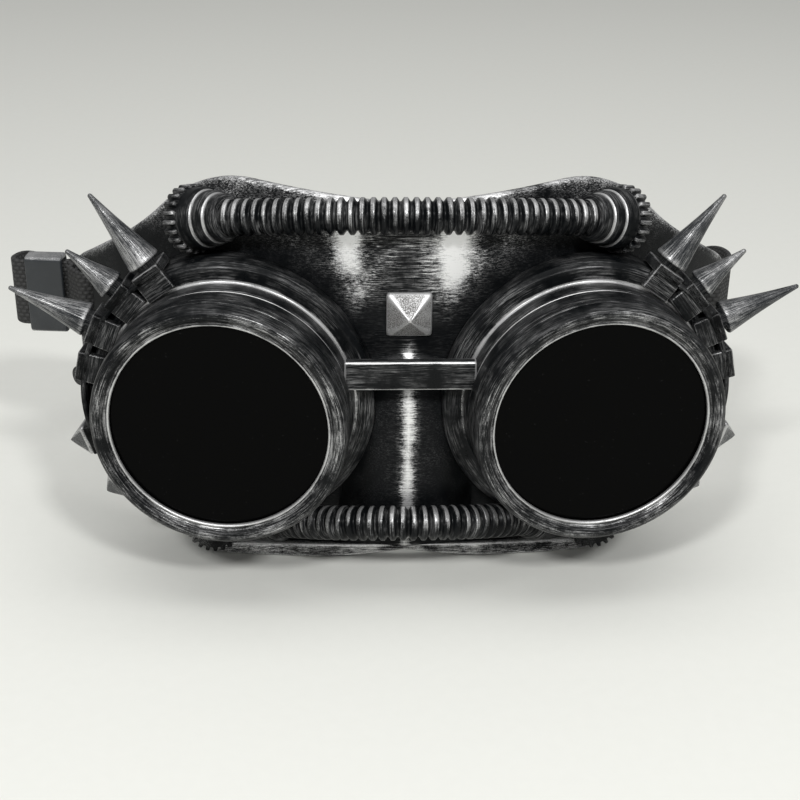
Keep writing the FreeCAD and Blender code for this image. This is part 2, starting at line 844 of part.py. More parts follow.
def main():
    os.makedirs("parts", exist_ok=True)
    for name, shape in make_parts().items():
        box = shape.BoundBox
        across = f"X {box.XMin:.1f} {box.XMax:.1f} Y {box.YMin:.1f} {box.YMax:.1f}"
        height = f"Z {box.ZMin:.1f} {box.ZMax:.1f}"
        print(f"{name}: {len(shape.Solids)} solid, valid {shape.isValid()}, {across} {height}")
        shape.exportStep(f"parts/{name}.step")


main()
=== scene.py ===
# %% [markdown]
# Spiked goggle mask, dressed over its packed construction.
# The frame brings every solid at its real place, in metres, and each visible piece below is laid over
# its own solid. We load it first. The finished model may not outgrow it.

# %% Load the frame
import math
import bmesh
import bpy
import numpy as np
from mathutils import Matrix, Vector


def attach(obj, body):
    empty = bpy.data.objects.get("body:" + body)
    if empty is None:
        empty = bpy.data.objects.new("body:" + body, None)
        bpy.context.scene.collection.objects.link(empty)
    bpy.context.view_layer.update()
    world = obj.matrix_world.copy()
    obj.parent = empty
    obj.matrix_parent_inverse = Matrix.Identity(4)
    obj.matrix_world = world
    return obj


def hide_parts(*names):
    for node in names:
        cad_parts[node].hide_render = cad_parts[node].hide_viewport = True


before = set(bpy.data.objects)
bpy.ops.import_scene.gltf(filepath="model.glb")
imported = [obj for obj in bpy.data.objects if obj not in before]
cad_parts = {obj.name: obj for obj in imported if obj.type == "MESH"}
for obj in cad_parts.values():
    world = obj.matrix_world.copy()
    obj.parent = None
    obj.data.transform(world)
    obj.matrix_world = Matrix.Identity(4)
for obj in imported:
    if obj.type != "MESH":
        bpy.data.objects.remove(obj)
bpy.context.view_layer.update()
MM = 0.001
SIDES = {"left": -1.0, "right": 1.0}

# %% [markdown]
# A surface is a grid of points over two parameters. One helper turns any such grid into a mesh:
# it can join the grid's first and last rows or columns, and a value per point, such as how
# far an edge stands out, travels along as an attribute that the finishes read.

# %% Grids to meshes
def grid_faces(rows, columns, close_rows, close_columns):
    """Quads between neighbouring grid points; a closed grid joins its last row or column to the first."""
    row = np.arange(rows if close_rows else rows - 1)
    column = np.arange(columns if close_columns else columns - 1)
    row, column = np.meshgrid(row, column, indexing="ij")
    next_row, next_column = (row + 1) % rows, (column + 1) % columns
    corners = [row * columns + column, next_row * columns + column,
               next_row * columns + next_column, row * columns + next_column]
    return np.stack(corners, -1).reshape(-1, 4)


def clean(mesh, weld):
    """Merges points that meet, drops empty faces and turns every face outwards."""
    work = bmesh.new()
    work.from_mesh(mesh)
    bmesh.ops.remove_doubles(work, verts=work.verts, dist=weld)
    bmesh.ops.dissolve_degenerate(work, edges=work.edges, dist=weld)
    bmesh.ops.recalc_face_normals(work, faces=work.faces)
    work.to_mesh(mesh)
    work.free()


def grid_mesh(name, grids, weld, extra=None):
    """One mesh from grids of (points, edge value, close rows, close columns, brush place).

    The brush place is where the strokes' noise is read: it moves slowly along a stroke, fast across it.
    """
    points, values, brush, faces, start = [], [], [], [], 0
    for grid, edge, close_rows, close_columns, strokes in grids:
        rows, columns = grid.shape[:2]
        points.append(grid.reshape(-1, 3))
        values.append(np.broadcast_to(edge, (rows, columns)).reshape(-1))
        brush.append(np.broadcast_to(strokes, grid.shape).reshape(-1, 3))
        faces.append(grid_faces(rows, columns, close_rows, close_columns) + start)
        start += rows * columns
    mesh = bpy.data.meshes.new(name)
    mesh.from_pydata(np.concatenate(points), [], np.concatenate(faces).tolist())
    numbers = {"edge": np.concatenate(values), **(extra or {})}
    for key, value in numbers.items():
        attribute = mesh.attributes.new(key, "FLOAT", "POINT")
        attribute.data.foreach_set("value", value.astype(np.float32).ravel())
    vectors = np.concatenate(brush).astype(np.float32)
    mesh.attributes.new("brush", "FLOAT_VECTOR", "POINT").data.foreach_set("vector", vectors.ravel())
    clean(mesh, weld)
    return mesh


def make_piece(name, grids, body, material, stands_for=(), weld=1e-6, extra=None):
    """One smooth object from grids, riding on a body, in place of the solids it stands for."""
    mesh = grid_mesh(name, grids, weld, extra)
    mesh.shade_smooth()
    piece = bpy.data.objects.new(name, mesh)
    bpy.context.scene.collection.objects.link(piece)
    piece.data.materials.append(material)
    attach(piece, body)
    if stands_for:
        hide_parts(*stands_for)
    return piece


# %% [markdown]
# Many pieces are drawn in a frame of their own, such as a barrel's, and then carried to their place.
# Blender could move the object instead, but with its place in its mesh every object stays at the
# origin, where the finishes' coordinates belong. A frame is a 4x4 array.

# %% Places
def placement(origin, along, side):
    """4x4 array whose Y runs along, with X as near to side as it can be."""
    y = Vector(along).normalized()
    z = Vector(side).cross(y).normalized()
    x = y.cross(z)
    return np.array(Matrix.Translation(Vector(origin)) @ Matrix((x, y, z)).transposed().to_4x4())


def carry(points, matrix):
    """Points moved by a 4x4 array."""
    return points @ matrix[:3, :3].T + matrix[:3, 3]


def flip(points, side):
    """Points mirrored in the middle plane for the left side."""
    return points * np.array([side, 1.0, 1.0])


# %% [markdown]
# Turned pieces are a profile carried round an axis. Blender's Screw modifier could spin them; here the
# rings are worked out as one array, because every point then knows whether it lies on an edge.
# Real edges are never sharp, so each corner of a profile becomes a small arc, and the points on
# outer corners get an edge value of 1: that is where the silver paint catches.

# %% Turned shapes
def rounded_profile(corners, radius, steps=4):
    """Open profile of (radius, distance) corners, each inner corner replaced by an arc-like curve.

    The curve is the quadratic through the two trimmed sides; its edge value is 1 on corners that
    turn like the profile's outside and 0 in hollows.
    """
    corners = np.array(corners, float)
    moves = np.linalg.norm(np.diff(corners, axis=0), axis=1) > 1e-9
    corners = corners[np.concatenate([[True], moves])]
    points, edges = [corners[:1]], [np.zeros(1)]
    share = np.linspace(0, 1, steps + 1)[:, None]
    for before, here, after in zip(corners[:-2], corners[1:-1], corners[2:]):
        to_before, to_after = before - here, after - here
        cut = min(radius, 0.45 * np.linalg.norm(to_before), 0.45 * np.linalg.norm(to_after))
        start = here + to_before / np.linalg.norm(to_before) * cut
        end = here + to_after / np.linalg.norm(to_after) * cut
        turn = to_before[0] * to_after[1] - to_before[1] * to_after[0]
        points.append((1 - share) ** 2 * start + 2 * share * (1 - share) * here + share ** 2 * end)
        edges.append(np.full(steps + 1, 1.0 if turn > 0 else 0.0))
    return np.concatenate(points + [corners[-1:]]), np.concatenate(edges + [np.zeros(1)])


def fade_edges(profile, edges, reach):
    """Adds a point on each side of every bright corner, so that its edge value dies out within reach."""
    points, values = [profile[0]], [edges[0]]
    for here, there, edge_here, edge_there in zip(profile[:-1], profile[1:], edges[:-1], edges[1:]):
        length = np.linalg.norm(there - here)
        if length > 2.2 * reach:
            points += [here + (there - here) * reach / length, there + (here - there) * reach / length]
            values += [0.12 * edge_here, 0.12 * edge_there]
        points.append(there)
        values.append(edge_there)
    return np.array(points), np.array(values)


# Along a stroke the brush place moves by this share of the real distance.
STROKE = 0.03


def lathe(profile, edges, matrix, segments=96, sweep=(0.0, 2 * math.pi), strokes="round"):
    """Grid of the profile (radius, distance) turned about the matrix's Y axis, brushed round or along."""
    whole = abs(sweep[1] - sweep[0]) > 6.28
    angle = np.linspace(sweep[0], sweep[1], segments, endpoint=not whole)[:, None]
    radius, distance = profile[:, 0][None, :], profile[:, 1][None, :]
    points = np.stack([radius * np.cos(angle), distance + 0 * angle, radius * np.sin(angle)], -1)
    run = np.concatenate([[0.0], np.cumsum(np.linalg.norm(np.diff(profile, axis=0), axis=1))])[None, :]
    reach = profile[:, 0].max()
    round_part, along_part = (STROKE, 1.0) if strokes == "round" else (1.0, STROKE)
    brush = np.stack([reach * np.cos(angle) * round_part + 0 * run, run * along_part + 0 * angle,
                      reach * np.sin(angle) * round_part + 0 * run], -1)
    return carry(points, matrix), edges[None, :], whole, False, brush + matrix[:3, 3]


def turned(corners, fillet, matrix, segments=96, reach=0.5 * MM):
    """Rounded, edge-marked lathe grid from profile corners in metres."""
    return lathe(*fade_edges(*rounded_profile(corners, fillet), reach), matrix, segments)


# %% [markdown]
# Blocks are boxes with rounded edges. A cube with a Bevel modifier would look the same, but the edge
# value is wanted here too. So every point of a cube's skin is pulled to the nearest point of a
# smaller box and pushed out again by the rounding radius.

# %% Rounded blocks
def rounded_box(size, radius, matrix, cells=4, shine=1.0, strokes=(1.0, 1.0, STROKE)):
    """Six grids of a box centred on the matrix, with the edge value on its rounded edges."""
    half = np.array(size) / 2
    line = np.linspace(-1, 1, cells + 1)

    def stops(direction):
        """Grid lines along one direction, closer together on the rounded edges."""
        flat = half[direction] - radius
        curve = np.sin(np.linspace(0, math.pi / 2, cells + 1)[1:]) * radius + flat
        return np.concatenate([-curve[::-1], line * flat, curve])

    grids = []
    for axis in range(3):
        first, second = (axis + 1) % 3, (axis + 2) % 3
        across, up = np.meshgrid(stops(first), stops(second), indexing="ij")
        for sign in (-1.0, 1.0):
            skin = np.zeros(across.shape + (3,))
            skin[..., first], skin[..., second], skin[..., axis] = across, up, sign * half[axis]
            core = np.clip(skin, -(half - radius), half - radius)
            out = skin - core
            out /= np.linalg.norm(out, axis=-1, keepdims=True)
            off = np.sort(np.abs(out), axis=-1)[..., 1]
            place = core + radius * out
            brush = place * np.array(strokes) + matrix[:3, 3]
            grids.append((carry(place, matrix), shine * np.clip(off * 2.2, 0, 1), False, False, brush))
    return grids


# %% [markdown]
# The finishes are painted plastic: black plastic with silver dry-brushed over whatever stands out.
# Each could be a painted picture, but a finish worked out from the object's own coordinates and the
# edge value holds on any side and in any pose. A small class lets the shader sums read like
# ordinary maths.

# %% Shader maths
class Sum:
    """A shader value that can be added, multiplied and mixed like a number."""

    def __init__(self, tree, socket):
        self.tree, self.socket = tree, socket

    def node(self, kind, inputs=(), output=0, **settings):
        """Any other node: its settings, its inputs by name or number, and the output wanted."""
        made = self.tree.nodes.new(kind)
        for key, value in settings.items():
            setattr(made, key, value)
        for key, value in dict(inputs).items():
            if isinstance(value, Sum):
                self.tree.links.new(value.socket, made.inputs[key])
            else:
                made.inputs[key].default_value = value
        return Sum(self.tree, made.outputs[output])

    def maths(self, operation, *others, clamp=False):
        """One Math node on this value and the others."""
        inputs = {number: value for number, value in enumerate((self,) + others)}
        return self.node("ShaderNodeMath", inputs, operation=operation, use_clamp=clamp)

    def __add__(self, other):
        return self.maths("ADD", other)

    def __radd__(self, other):
        return self.maths("ADD", other)

    def __mul__(self, other):
        return self.maths("MULTIPLY", other)

    def __rmul__(self, other):
        return self.maths("MULTIPLY", other)

    def __sub__(self, other):
        return self.maths("SUBTRACT", other)

    def __rsub__(self, other):
        return (self * -1.0).maths("ADD", other)

    def clip(self):
        """Held between 0 and 1."""
        return self.maths("ADD", 0.0, clamp=True)

    def ramp(self, low, high):
        """0 below low, 1 above high, smooth between."""
        return self.node("ShaderNodeMapRange", {"Value": self, "From Min": low, "From Max": high},
                         interpolation_type="SMOOTHSTEP")

    def mix(self, dark, light):
        """Colour mixed from dark to light by this value."""
        return self.node("ShaderNodeMix", {0: self, 6: dark, 7: light}, 2, data_type="RGBA")


def grey(value, warmth=0.0):
    """Grey as a colour, a little warmer or cooler."""
    return (value * (1 + warmth), value, value * (1 - warmth), 1.0)


def finish_material(name):
    """New material with its Principled shader, and a first value to start sums from."""
    material = bpy.data.materials.new(name)
    material.use_nodes = True
    tree = material.node_tree
    shader = tree.nodes["Principled BSDF"]
    coords = tree.nodes.new("ShaderNodeTexCoord")
    return material, tree, shader, Sum(tree, coords.outputs["Object"])


def noise(position, scale, stretch=(1, 1, 1), detail=4.0, rough=0.6, distort=0.0):
    """Noise over the object's coordinates, stretched along an axis by a small factor there."""
    sizes = [scale * share for share in stretch]
    moved = position.node("ShaderNodeMapping", {"Vector": position, "Scale": sizes})
    inputs = {"Vector": moved, "Scale": 1.0, "Detail": detail, "Roughness": rough, "Distortion": distort}
    return moved.node("ShaderNodeTexNoise", inputs, normalize=True)


def link(tree, value, shader, socket):
    """Feeds a shader value into a socket."""
    tree.links.new(value.socket, shader.inputs[socket])


# %% [markdown]
# Dry-brushed plastic: black base, a thin scatter of silver streaks laid by a nearly dry brush, and
# solid silver on worn edges. One function makes all seven, because they differ only in their amounts.
# The silver is metallic and a little duller than the plastic, and a fine bump breaks up the highlights.

# %% Painted plastic
# The per-point value that sets the silver is edge wear on most pieces; on the shell, cups and hoses it
# also holds painted highlights and painted light from above.
def painted(name, streaks, silver_gain, base=0.004, roughness=0.34, silver=0.60, bump=0.12,
            cover=(0.40, 0.66), gloss=0.22, bare=1.0, tint=-0.15):
    """Black plastic with silver streaks along the brush strokes, and silver from the per-point value:
    worn edges, and on some pieces painted highlights and painted light.

    Bare is the share of streaks left where the edge value is 0.
    """
    material, tree, shader, where = finish_material(name)
    shader.inputs["Specular IOR Level"].default_value = gloss
    edge = where.node("ShaderNodeAttribute", output="Fac", attribute_name="edge")
    strokes = where.node("ShaderNodeAttribute", output="Vector", attribute_name="brush")
    fine = noise(strokes, 4200, (1, 1, 1), 3.0, 0.65)
    bristle = noise(strokes, 13000, (1, 1, 1), 2.0, 0.6)
    broad = noise(where, 110, (1, 1, 1), 5.0, 0.65)
    speck = noise(where, 3200, (1, 1, 1), 3.0, 0.7)
    bristles = fine * 0.55 + bristle * 0.45
    kept = edge.ramp(0.0, 0.4) * (1.0 - bare) + bare
    brushed = bristles.ramp(0.46, 0.66) * broad.ramp(*cover) * kept * streaks
    worn_and_lit = edge * silver_gain + (bristles - 0.5) * 1.6 + (broad - 0.5) * 1.1 + (speck - 0.5) * 0.6
    paint = (brushed + worn_and_lit.ramp(0.30, 1.0) * edge.ramp(0.02, 0.35)).clip()
    link(tree, paint.mix(grey(base, tint), grey(silver)), shader, "Base Color")
    link(tree, paint * 0.85, shader, "Metallic")
    link(tree, paint * 0.08 + (broad - 0.5) * 0.16 + roughness, shader, "Roughness")
    relief = bristles * 0.8 + broad * 0.6 + paint * 0.5
    normal = relief.node("ShaderNodeBump", {"Height": relief, "Strength": bump, "Distance": 0.0003})
    link(tree, normal, shader, "Normal")
    return material


SHELL = painted("mask_plastic", 0.62, 0.9, roughness=0.40, silver=0.92, bump=0.06, cover=(0.30, 0.75),
                gloss=0.09, bare=0.08)
BLACK = painted("barrel_plastic", 0.42, 0.95, roughness=0.30, silver=0.60, cover=(0.36, 0.70),
                gloss=0.12)
GEAR = painted("gear_plastic", 0.45, 0.9, roughness=0.34, silver=0.52, gloss=0.12)
RIBBED = painted("hose_plastic", 0.30, 0.95, roughness=0.30, silver=0.60, gloss=0.12)
SPIKE = painted("spike_silver", 0.70, 0.9, base=0.014, roughness=0.28, silver=0.50,
                cover=(0.25, 0.65))
NICKEL = painted("nickel_stud", 0.9, 1.3, base=0.10, roughness=0.40, silver=0.82,
                 cover=(0.05, 0.40), tint=0.04)
SLIDER = painted("slider_plastic", 0.10, 0.8, base=0.020, roughness=0.34, silver=0.50, gloss=0.5)
print("painted finishes:", len(bpy.data.materials))

# %% [markdown]
# Three more finishes: tinted lenses, the rubber of the gaskets and the woven strap.
# The lens is almost black glass-like plastic with faint wiping marks in its gloss.
# The strap's weave could be modelled thread by thread, but at this size a bump is enough. It follows
# two values laid along and across the band.

# %% Lens, rubber and webbing
def lens_material():
    """Near-black gloss with faint smears in the roughness."""
    material, tree, shader, where = finish_material("lens_black")
    smear = noise(where, 60, (1, 1, 0.25), 5.0, 0.6, 1.5)
    dust = noise(where, 1500, (1, 1, 1), 1.0, 0.4).ramp(0.74, 0.82)
    link(tree, dust.mix(grey(0.0012), grey(0.010)), shader, "Base Color")
    link(tree, smear.ramp(0.35, 0.75) * 0.10 + dust * 0.2 + 0.07, shader, "Roughness")
    shader.inputs["Specular IOR Level"].default_value = 0.035
    return material


def rubber_material():
    """Soft dark rubber with a fine grain."""
    material, tree, shader, where = finish_material("gasket_rubber")
    grain = noise(where, 1800, (1, 1, 1), 3.0, 0.6)
    link(tree, grain.mix(grey(0.010), grey(0.022)), shader, "Base Color")
    link(tree, grain * 0.2 + 0.55, shader, "Roughness")
    normal = grain.node("ShaderNodeBump", {"Height": grain, "Strength": 0.15, "Distance": 0.0002})
    link(tree, normal, shader, "Normal")
    return material


def webbing_material(thread=0.0011, rib=0.0016):
    """Black elastic webbing: rows of threads along the band, crossed by ribs in alternate steps."""
    material, tree, shader, where = finish_material("strap_webbing")
    along = where.node("ShaderNodeAttribute", output="Fac", attribute_name="along")
    across = where.node("ShaderNodeAttribute", output="Fac", attribute_name="across")
    row = across * (1 / thread)
    step = (row * 0.5).maths("FRACT").maths("GREATER_THAN", 0.5) * 0.5
    column = along * (1 / rib) + step
    bulge = (row.maths("FRACT") - 0.5).maths("ABSOLUTE") * 2.0
    lift = (column.maths("FRACT") - 0.5).maths("ABSOLUTE") * 2.0
    height = (1.0 - bulge * bulge) * (1.0 - lift * lift)
    fuzz = noise(where, 2500, (1, 1, 1), 3.0, 0.7)
    # The weave's crests are coloured lighter than the grooves between threads: painted shade in the
    # grooves.
    link(tree, (height * 0.8 + fuzz * 0.4).clip().mix(grey(0.004), grey(0.030)), shader, "Base Color")
    link(tree, 0.78 - height * 0.18, shader, "Roughness")
    relief = height + fuzz * 0.3
    normal = relief.node("ShaderNodeBump", {"Height": relief, "Strength": 0.7, "Distance": 0.0004})
    link(tree, normal, shader, "Normal")
    return material


LENS = lens_material()
RUBBER = rubber_material()
WEBBING = webbing_material()
print("finishes in all:", len(bpy.data.materials))

# %% [markdown]
# The camera stands a little above the mask, almost straight in front. Its place comes from lining up
# the rims, studs and spike tips with where they are seen.

# %% Camera
CAMERA_TARGET = Vector((0.0, 0.0, 0.050))
CAMERA_DISTANCE = 0.340
CAMERA_ELEVATION = math.radians(26.5)
CAMERA_AZIMUTH = math.radians(-2.96)
CAMERA_ROLL = math.radians(0.95)

scene = bpy.context.scene
camera_data = bpy.data.cameras.new("camera")
camera_data.lens, camera_data.sensor_width = 66.0, 36.0
camera_data.shift_x, camera_data.shift_y = -0.014, 0.034
camera_data.clip_start = 0.01
camera = bpy.data.objects.new("camera", camera_data)
scene.collection.objects.link(camera)
level = CAMERA_DISTANCE * math.cos(CAMERA_ELEVATION)
height = CAMERA_DISTANCE * math.sin(CAMERA_ELEVATION)
sideways, forward = level * math.sin(CAMERA_AZIMUTH), level * math.cos(CAMERA_AZIMUTH)
camera.location = CAMERA_TARGET + Vector((sideways, -forward, height))
look = (CAMERA_TARGET - camera.location).to_track_quat("-Z", "Y").to_matrix()
camera.rotation_euler = (look @ Matrix.Rotation(CAMERA_ROLL, 3, "Z")).to_euler()
scene.camera = camera
scene.view_settings.view_transform = "Standard"
print("camera at", [round(value, 4) for value in camera.location])

# %% [markdown]
# The mask stands on pale paper under one large soft box overhead, with a small box to each side in
# front. The side boxes light the rims and ribs from the front. The paper runs far behind the mask, so
# the background is the paper itself growing darker with distance.

# %% Floor, light and surroundings
def area_light(name, place, aim, size, power):
    """Soft rectangular studio lamp at a place, turned to its aim."""
    data = bpy.data.lights.new(name, "AREA")
    data.shape, data.size, data.size_y = "RECTANGLE", size[0], size[1]
    data.energy = power
    lamp = bpy.data.objects.new(name, data)
    scene.collection.objects.link(lamp)
    lamp.location = Vector(place)
    lamp.rotation_euler = (Vector(aim) - lamp.location).to_track_quat("-Z", "Y").to_euler()
    return lamp


LAMPS = {"top_box": ((0.0, -0.05, 1.30), (0.0, 0.0, 0.02), (1.4, 0.8), 6.5),
         "left_box": ((-0.33, -0.86, 0.86), (0.0, 0.0, 0.05), (0.12, 0.12), 6.0),
         "right_box": ((0.31, -0.86, 0.86), (0.0, 0.0, 0.05), (0.12, 0.12), 6.0)}
for lamp_name, (place, aim, size, power) in LAMPS.items():
    area_light(lamp_name, place, aim, size, power)

floor_half = 3.0
floor_mesh = bpy.data.meshes.new("floor")
floor_mesh.from_pydata([(-floor_half, -floor_half, 0), (floor_half, -floor_half, 0),
                        (floor_half, floor_half, 0), (-floor_half, floor_half, 0)], [], [(0, 1, 2, 3)])
floor = bpy.data.objects.new("floor", floor_mesh)
scene.collection.objects.link(floor)
floor_material, floor_tree, floor_shader, floor_where = finish_material("studio_paper")
paper = noise(floor_where, 300, (1, 1, 1), 3.0, 0.5)
paper_color = paper.mix((0.765, 0.77, 0.725, 1.0), (0.79, 0.795, 0.75, 1.0))
link(floor_tree, paper_color, floor_shader, "Base Color")
floor_shader.inputs["Roughness"].default_value = 0.8
floor_mesh.materials.append(floor_material)

world = bpy.data.worlds.new("studio")
scene.world = world
world.use_nodes = True
sky = world.node_tree.nodes["Background"]
sky.inputs["Color"].default_value = grey(0.31)
print("lamps:", len(LAMPS))

# %% [markdown]
# The mask shell is a moulded half mask. It could be the construction's own solid with softened edges,
# but its edge is a full round and its nose flows into the face, so it is laid out anew:
# a middle surface over the front outline, thickened both ways, with the thickness
# dying out as a half circle at the outline. The eye holes and strap slots are then cut through.

# %% Mask surface
AXIS_Y = 125.0 * MM
WALL = 2.6 * MM
NOSE_RADIUS = 17.0 * MM
NOSE_Y = 29.0 * MM
NOSE_DOME_Z = 47.0 * MM
NOSE_BOTTOM_Z = 14.0 * MM
# Outside its own outline the nose is put this far back, so that it never shows there.
BEYOND = 200.0 * MM
EYE = np.array([44.5, 0.0, 50.0]) * MM
# Places across the brow where lamp glare is painted in silver, and how wide: painted highlights.
GLARE_SPOTS = ((-14.0 * MM, 3.4 * MM), (10.5 * MM, 4.2 * MM))


def circle_through(a, b, c):
    """Centre and radius of the circle through three points of a plane."""
    a, b, c = (np.array(point, float) for point in (a, b, c))
    rows = np.array([b - a, c - a]) * 2
    centre = np.linalg.solve(rows, np.array([b @ b - a @ a, c @ c - a @ a]))
    return centre, np.linalg.norm(a - centre)


FACE_CENTRE, FACE_ARC = circle_through((0.100, -0.001), (0.107, 0.062), (0.1045, 0.102))


def face_radius(z):
    """Outer radius of the mask's body of revolution at a height."""
    return FACE_CENTRE[0] + np.sqrt(FACE_ARC ** 2 - (z - FACE_CENTRE[1]) ** 2)


def mask_front(x, z, blend=2.0 * MM):
    """Y of the mask's outer face: the round face and the nose bump, the nearer one with a soft joint."""
    face = AXIS_Y - np.sqrt(face_radius(z) ** 2 - x ** 2)
    over = np.maximum(z - NOSE_DOME_Z, 0)
    under = np.maximum(NOSE_BOTTOM_Z - z, 0)
    inside = NOSE_RADIUS ** 2 - x ** 2 - over ** 2
    nose = NOSE_Y - np.sqrt(np.maximum(inside, 0)) + np.where(inside < 0, BEYOND, 0.0) + 9 * under
    share = np.clip(0.5 + 0.5 * (face - nose) / blend, 0, 1)
    return face * (1 - share) + nose * share - blend * share * (1 - share)


print("nose ridge at y =", round(float(mask_front(0.0, EYE[2])), 4))

# %% [markdown]
# Seen from the front, the shell ends in a line that rises over each eye and dips in the middle. Half of
# it is given as a few corners with wide arcs. Grid lines are crowded near that line, because the wall
# is rounded off there. Each point gets a value for its silver: worn paint on the outline, dry-brush on
# the brow fading out round the eye cups as painted shade, and painted highlights on the brow and nose.

# %% Mask outline and skins
def outline_curve(points, steps=6, corner=9.0 * MM):
    """Outline corners as a smooth curve: each inner corner becomes a quadratic arc."""
    curve, _ = rounded_profile(np.array(points) * MM, corner, steps)
    return curve


TOP_LINE = outline_curve([(0, 97), (20, 99), (42, 101.6), (54, 96.5), (64, 86), (85, 70), (85, 60)])
LOW_LINE = outline_curve([(0, 2.5), (17, 0), (52, 0), (68, 14), (85, 33), (85, 46)])
HALF_WIDTH = 85.0 * MM


def shell_grid(columns=171, rows=91):
    """Middle surface points, outward half thickness and distance to the outline over (across, up)."""
    rim = WALL / 2
    ends = rim * (1 - np.cos(np.linspace(0, math.pi / 2, 6)))
    x_line = np.linspace(rim, 2 * HALF_WIDTH - rim, columns)[1:-1]
    x = np.concatenate([ends, x_line, 2 * HALF_WIDTH - ends[::-1]])[:, None] - HALF_WIDTH
    reach = np.minimum(np.abs(x), HALF_WIDTH - 1e-9)
    low = np.interp(reach, LOW_LINE[:, 0], LOW_LINE[:, 1])
    high = np.interp(reach, TOP_LINE[:, 0], TOP_LINE[:, 1])
    middle = np.linspace(0, 1, rows)[1:-1][None, :]
    body = low + rim + (high - low - 2 * rim) * middle
    z = np.concatenate([low + ends[None, :], body, high - ends[None, ::-1]], 1)
    x = np.broadcast_to(x, z.shape)
    distance = np.minimum(np.minimum(z - low, high - z), HALF_WIDTH - np.abs(x))
    half = np.sqrt(np.maximum(rim ** 2 - (rim - np.clip(distance, 0, rim)) ** 2, 0))
    return x, z, half, distance


def shell_points():
    """Outer and inner skins of the shell: the middle surface pushed out and in along its normal."""
    x, z, half, distance = shell_grid()
    step = 0.05 * MM
    y = mask_front(x, z) + WALL / 2
    slope_x = (mask_front(x + step, z) - mask_front(x - step, z)) / (2 * step)
    slope_z = (mask_front(x, z + step) - mask_front(x, z - step)) / (2 * step)
    slope_x, slope_z = np.clip(slope_x, -2.5, 2.5), np.clip(slope_z, -1.5, 1.5)
    normal = np.stack([slope_x, -np.ones_like(x), slope_z], -1)
    normal /= np.linalg.norm(normal, axis=-1, keepdims=True)
    middle = np.stack([x, y, z], -1)
    rim_edge = 0.60 * np.clip(1.15 - distance / (2.6 * MM), 0, 1)
    # The brow's dry-brushed silver fades out near the eye cups: painted shade round the cups.
    clear = np.hypot(np.abs(x) - EYE[0], z - EYE[2]) - 35.0 * MM
    brow = np.clip((z - 66.0 * MM) / (16.0 * MM), 0, 1) * np.clip(clear / (10.0 * MM), 0, 1)
    # The narrow silver band down the middle of the nose is a painted highlight.
    ridge = np.exp(-(x / (1.6 * MM)) ** 2) * np.clip((66.0 * MM - z) / (6.0 * MM), 0, 1)
    # The two silver spots across the brow are painted highlights, standing in for lamp glare.
    painted_glare = np.max([np.exp(-((x - spot) / wide) ** 2) for spot, wide in GLARE_SPOTS], axis=0)
    face_wear_and_glare = np.maximum(rim_edge, np.maximum((0.28 + 0.92 * painted_glare) * brow, 0.95 * ridge))
    outer = middle + normal * half[..., None]
    inner = middle - normal * half[..., None]
    return outer, inner, face_wear_and_glare, rim_edge


# %% [markdown]
# Openings are cut by Boolean modifiers. They are applied at once, so that the finished piece is a plain
# mesh, and the cutters are removed.

# %% Cutting
def cut_with(piece, cutters):
    """Cuts helper objects out of a piece for good and removes them."""
    for cutter in cutters:
        modifier = piece.modifiers.new("cut", "BOOLEAN")
        modifier.operation, modifier.object, modifier.solver = "DIFFERENCE", cutter, "EXACT"
    result = bpy.data.meshes.new_from_object(piece.evaluated_get(bpy.context.evaluated_depsgraph_get()))
    piece.modifiers.clear()
    old, piece.data = piece.data, result
    result.name = piece.name
    bpy.data.meshes.remove(old)
    for cutter in cutters:
        data = cutter.data
        bpy.data.objects.remove(cutter)
        bpy.data.meshes.remove(data)


def cutter_object(name, grids):
    """Plain object of grids, only for cutting."""
    cutter = bpy.data.objects.new(name, grid_mesh(name, grids, 1e-7))
    scene.collection.objects.link(cutter)
    return cutter


# %% [markdown]
# Each eye barrel stands on its own axis, turned outwards a little. The temple end of the mask has a
# frame of its own, from which the slot, the strap and the slider are laid.

# %% Barrel and temple places
SPLAY = math.radians(6.7)
BARREL = np.array(Matrix.Translation(Vector(EYE)) @ Matrix.Rotation(SPLAY, 4, "Z"))
BORE = 28.7 * MM
FLANGE = 34.7 * MM
TEMPLE_ANGLE = math.radians(52.6)
TEMPLE_INNER = 107.0 * MM - WALL / 2
STRAP_HEIGHT = 58.5 * MM
SLOT_SIZE = np.array([14.0, 4.0, 19.2]) * MM
SLOT_INSET = 6.5 * MM
TEMPLE_AHEAD = np.array([math.cos(TEMPLE_ANGLE), math.sin(TEMPLE_ANGLE), 0.0])
TEMPLE_OUT = np.array([math.sin(TEMPLE_ANGLE), -math.cos(TEMPLE_ANGLE), 0.0])
TEMPLE_ORIGIN = np.array([0.0, AXIS_Y, STRAP_HEIGHT]) + TEMPLE_INNER * TEMPLE_OUT
TEMPLE = placement(TEMPLE_ORIGIN, TEMPLE_AHEAD, TEMPLE_OUT)


print("right temple at", [round(float(value), 4) for value in TEMPLE_ORIGIN])


def mirrored_grids(grids, side):
    """The same grids on the left or right side."""
    return [(flip(points, side), edge, rows, columns, flip(brush, side))
            for points, edge, rows, columns, brush in grids]


# %% [markdown]
# On the real mask the shell is one moulding, with the eye holes and strap slots left open in the mould.
# Here the two skins are laid first and joined at the outline, and the openings are cut afterwards,
# because a clean round hole across a grid is simpler to cut than to weave in.

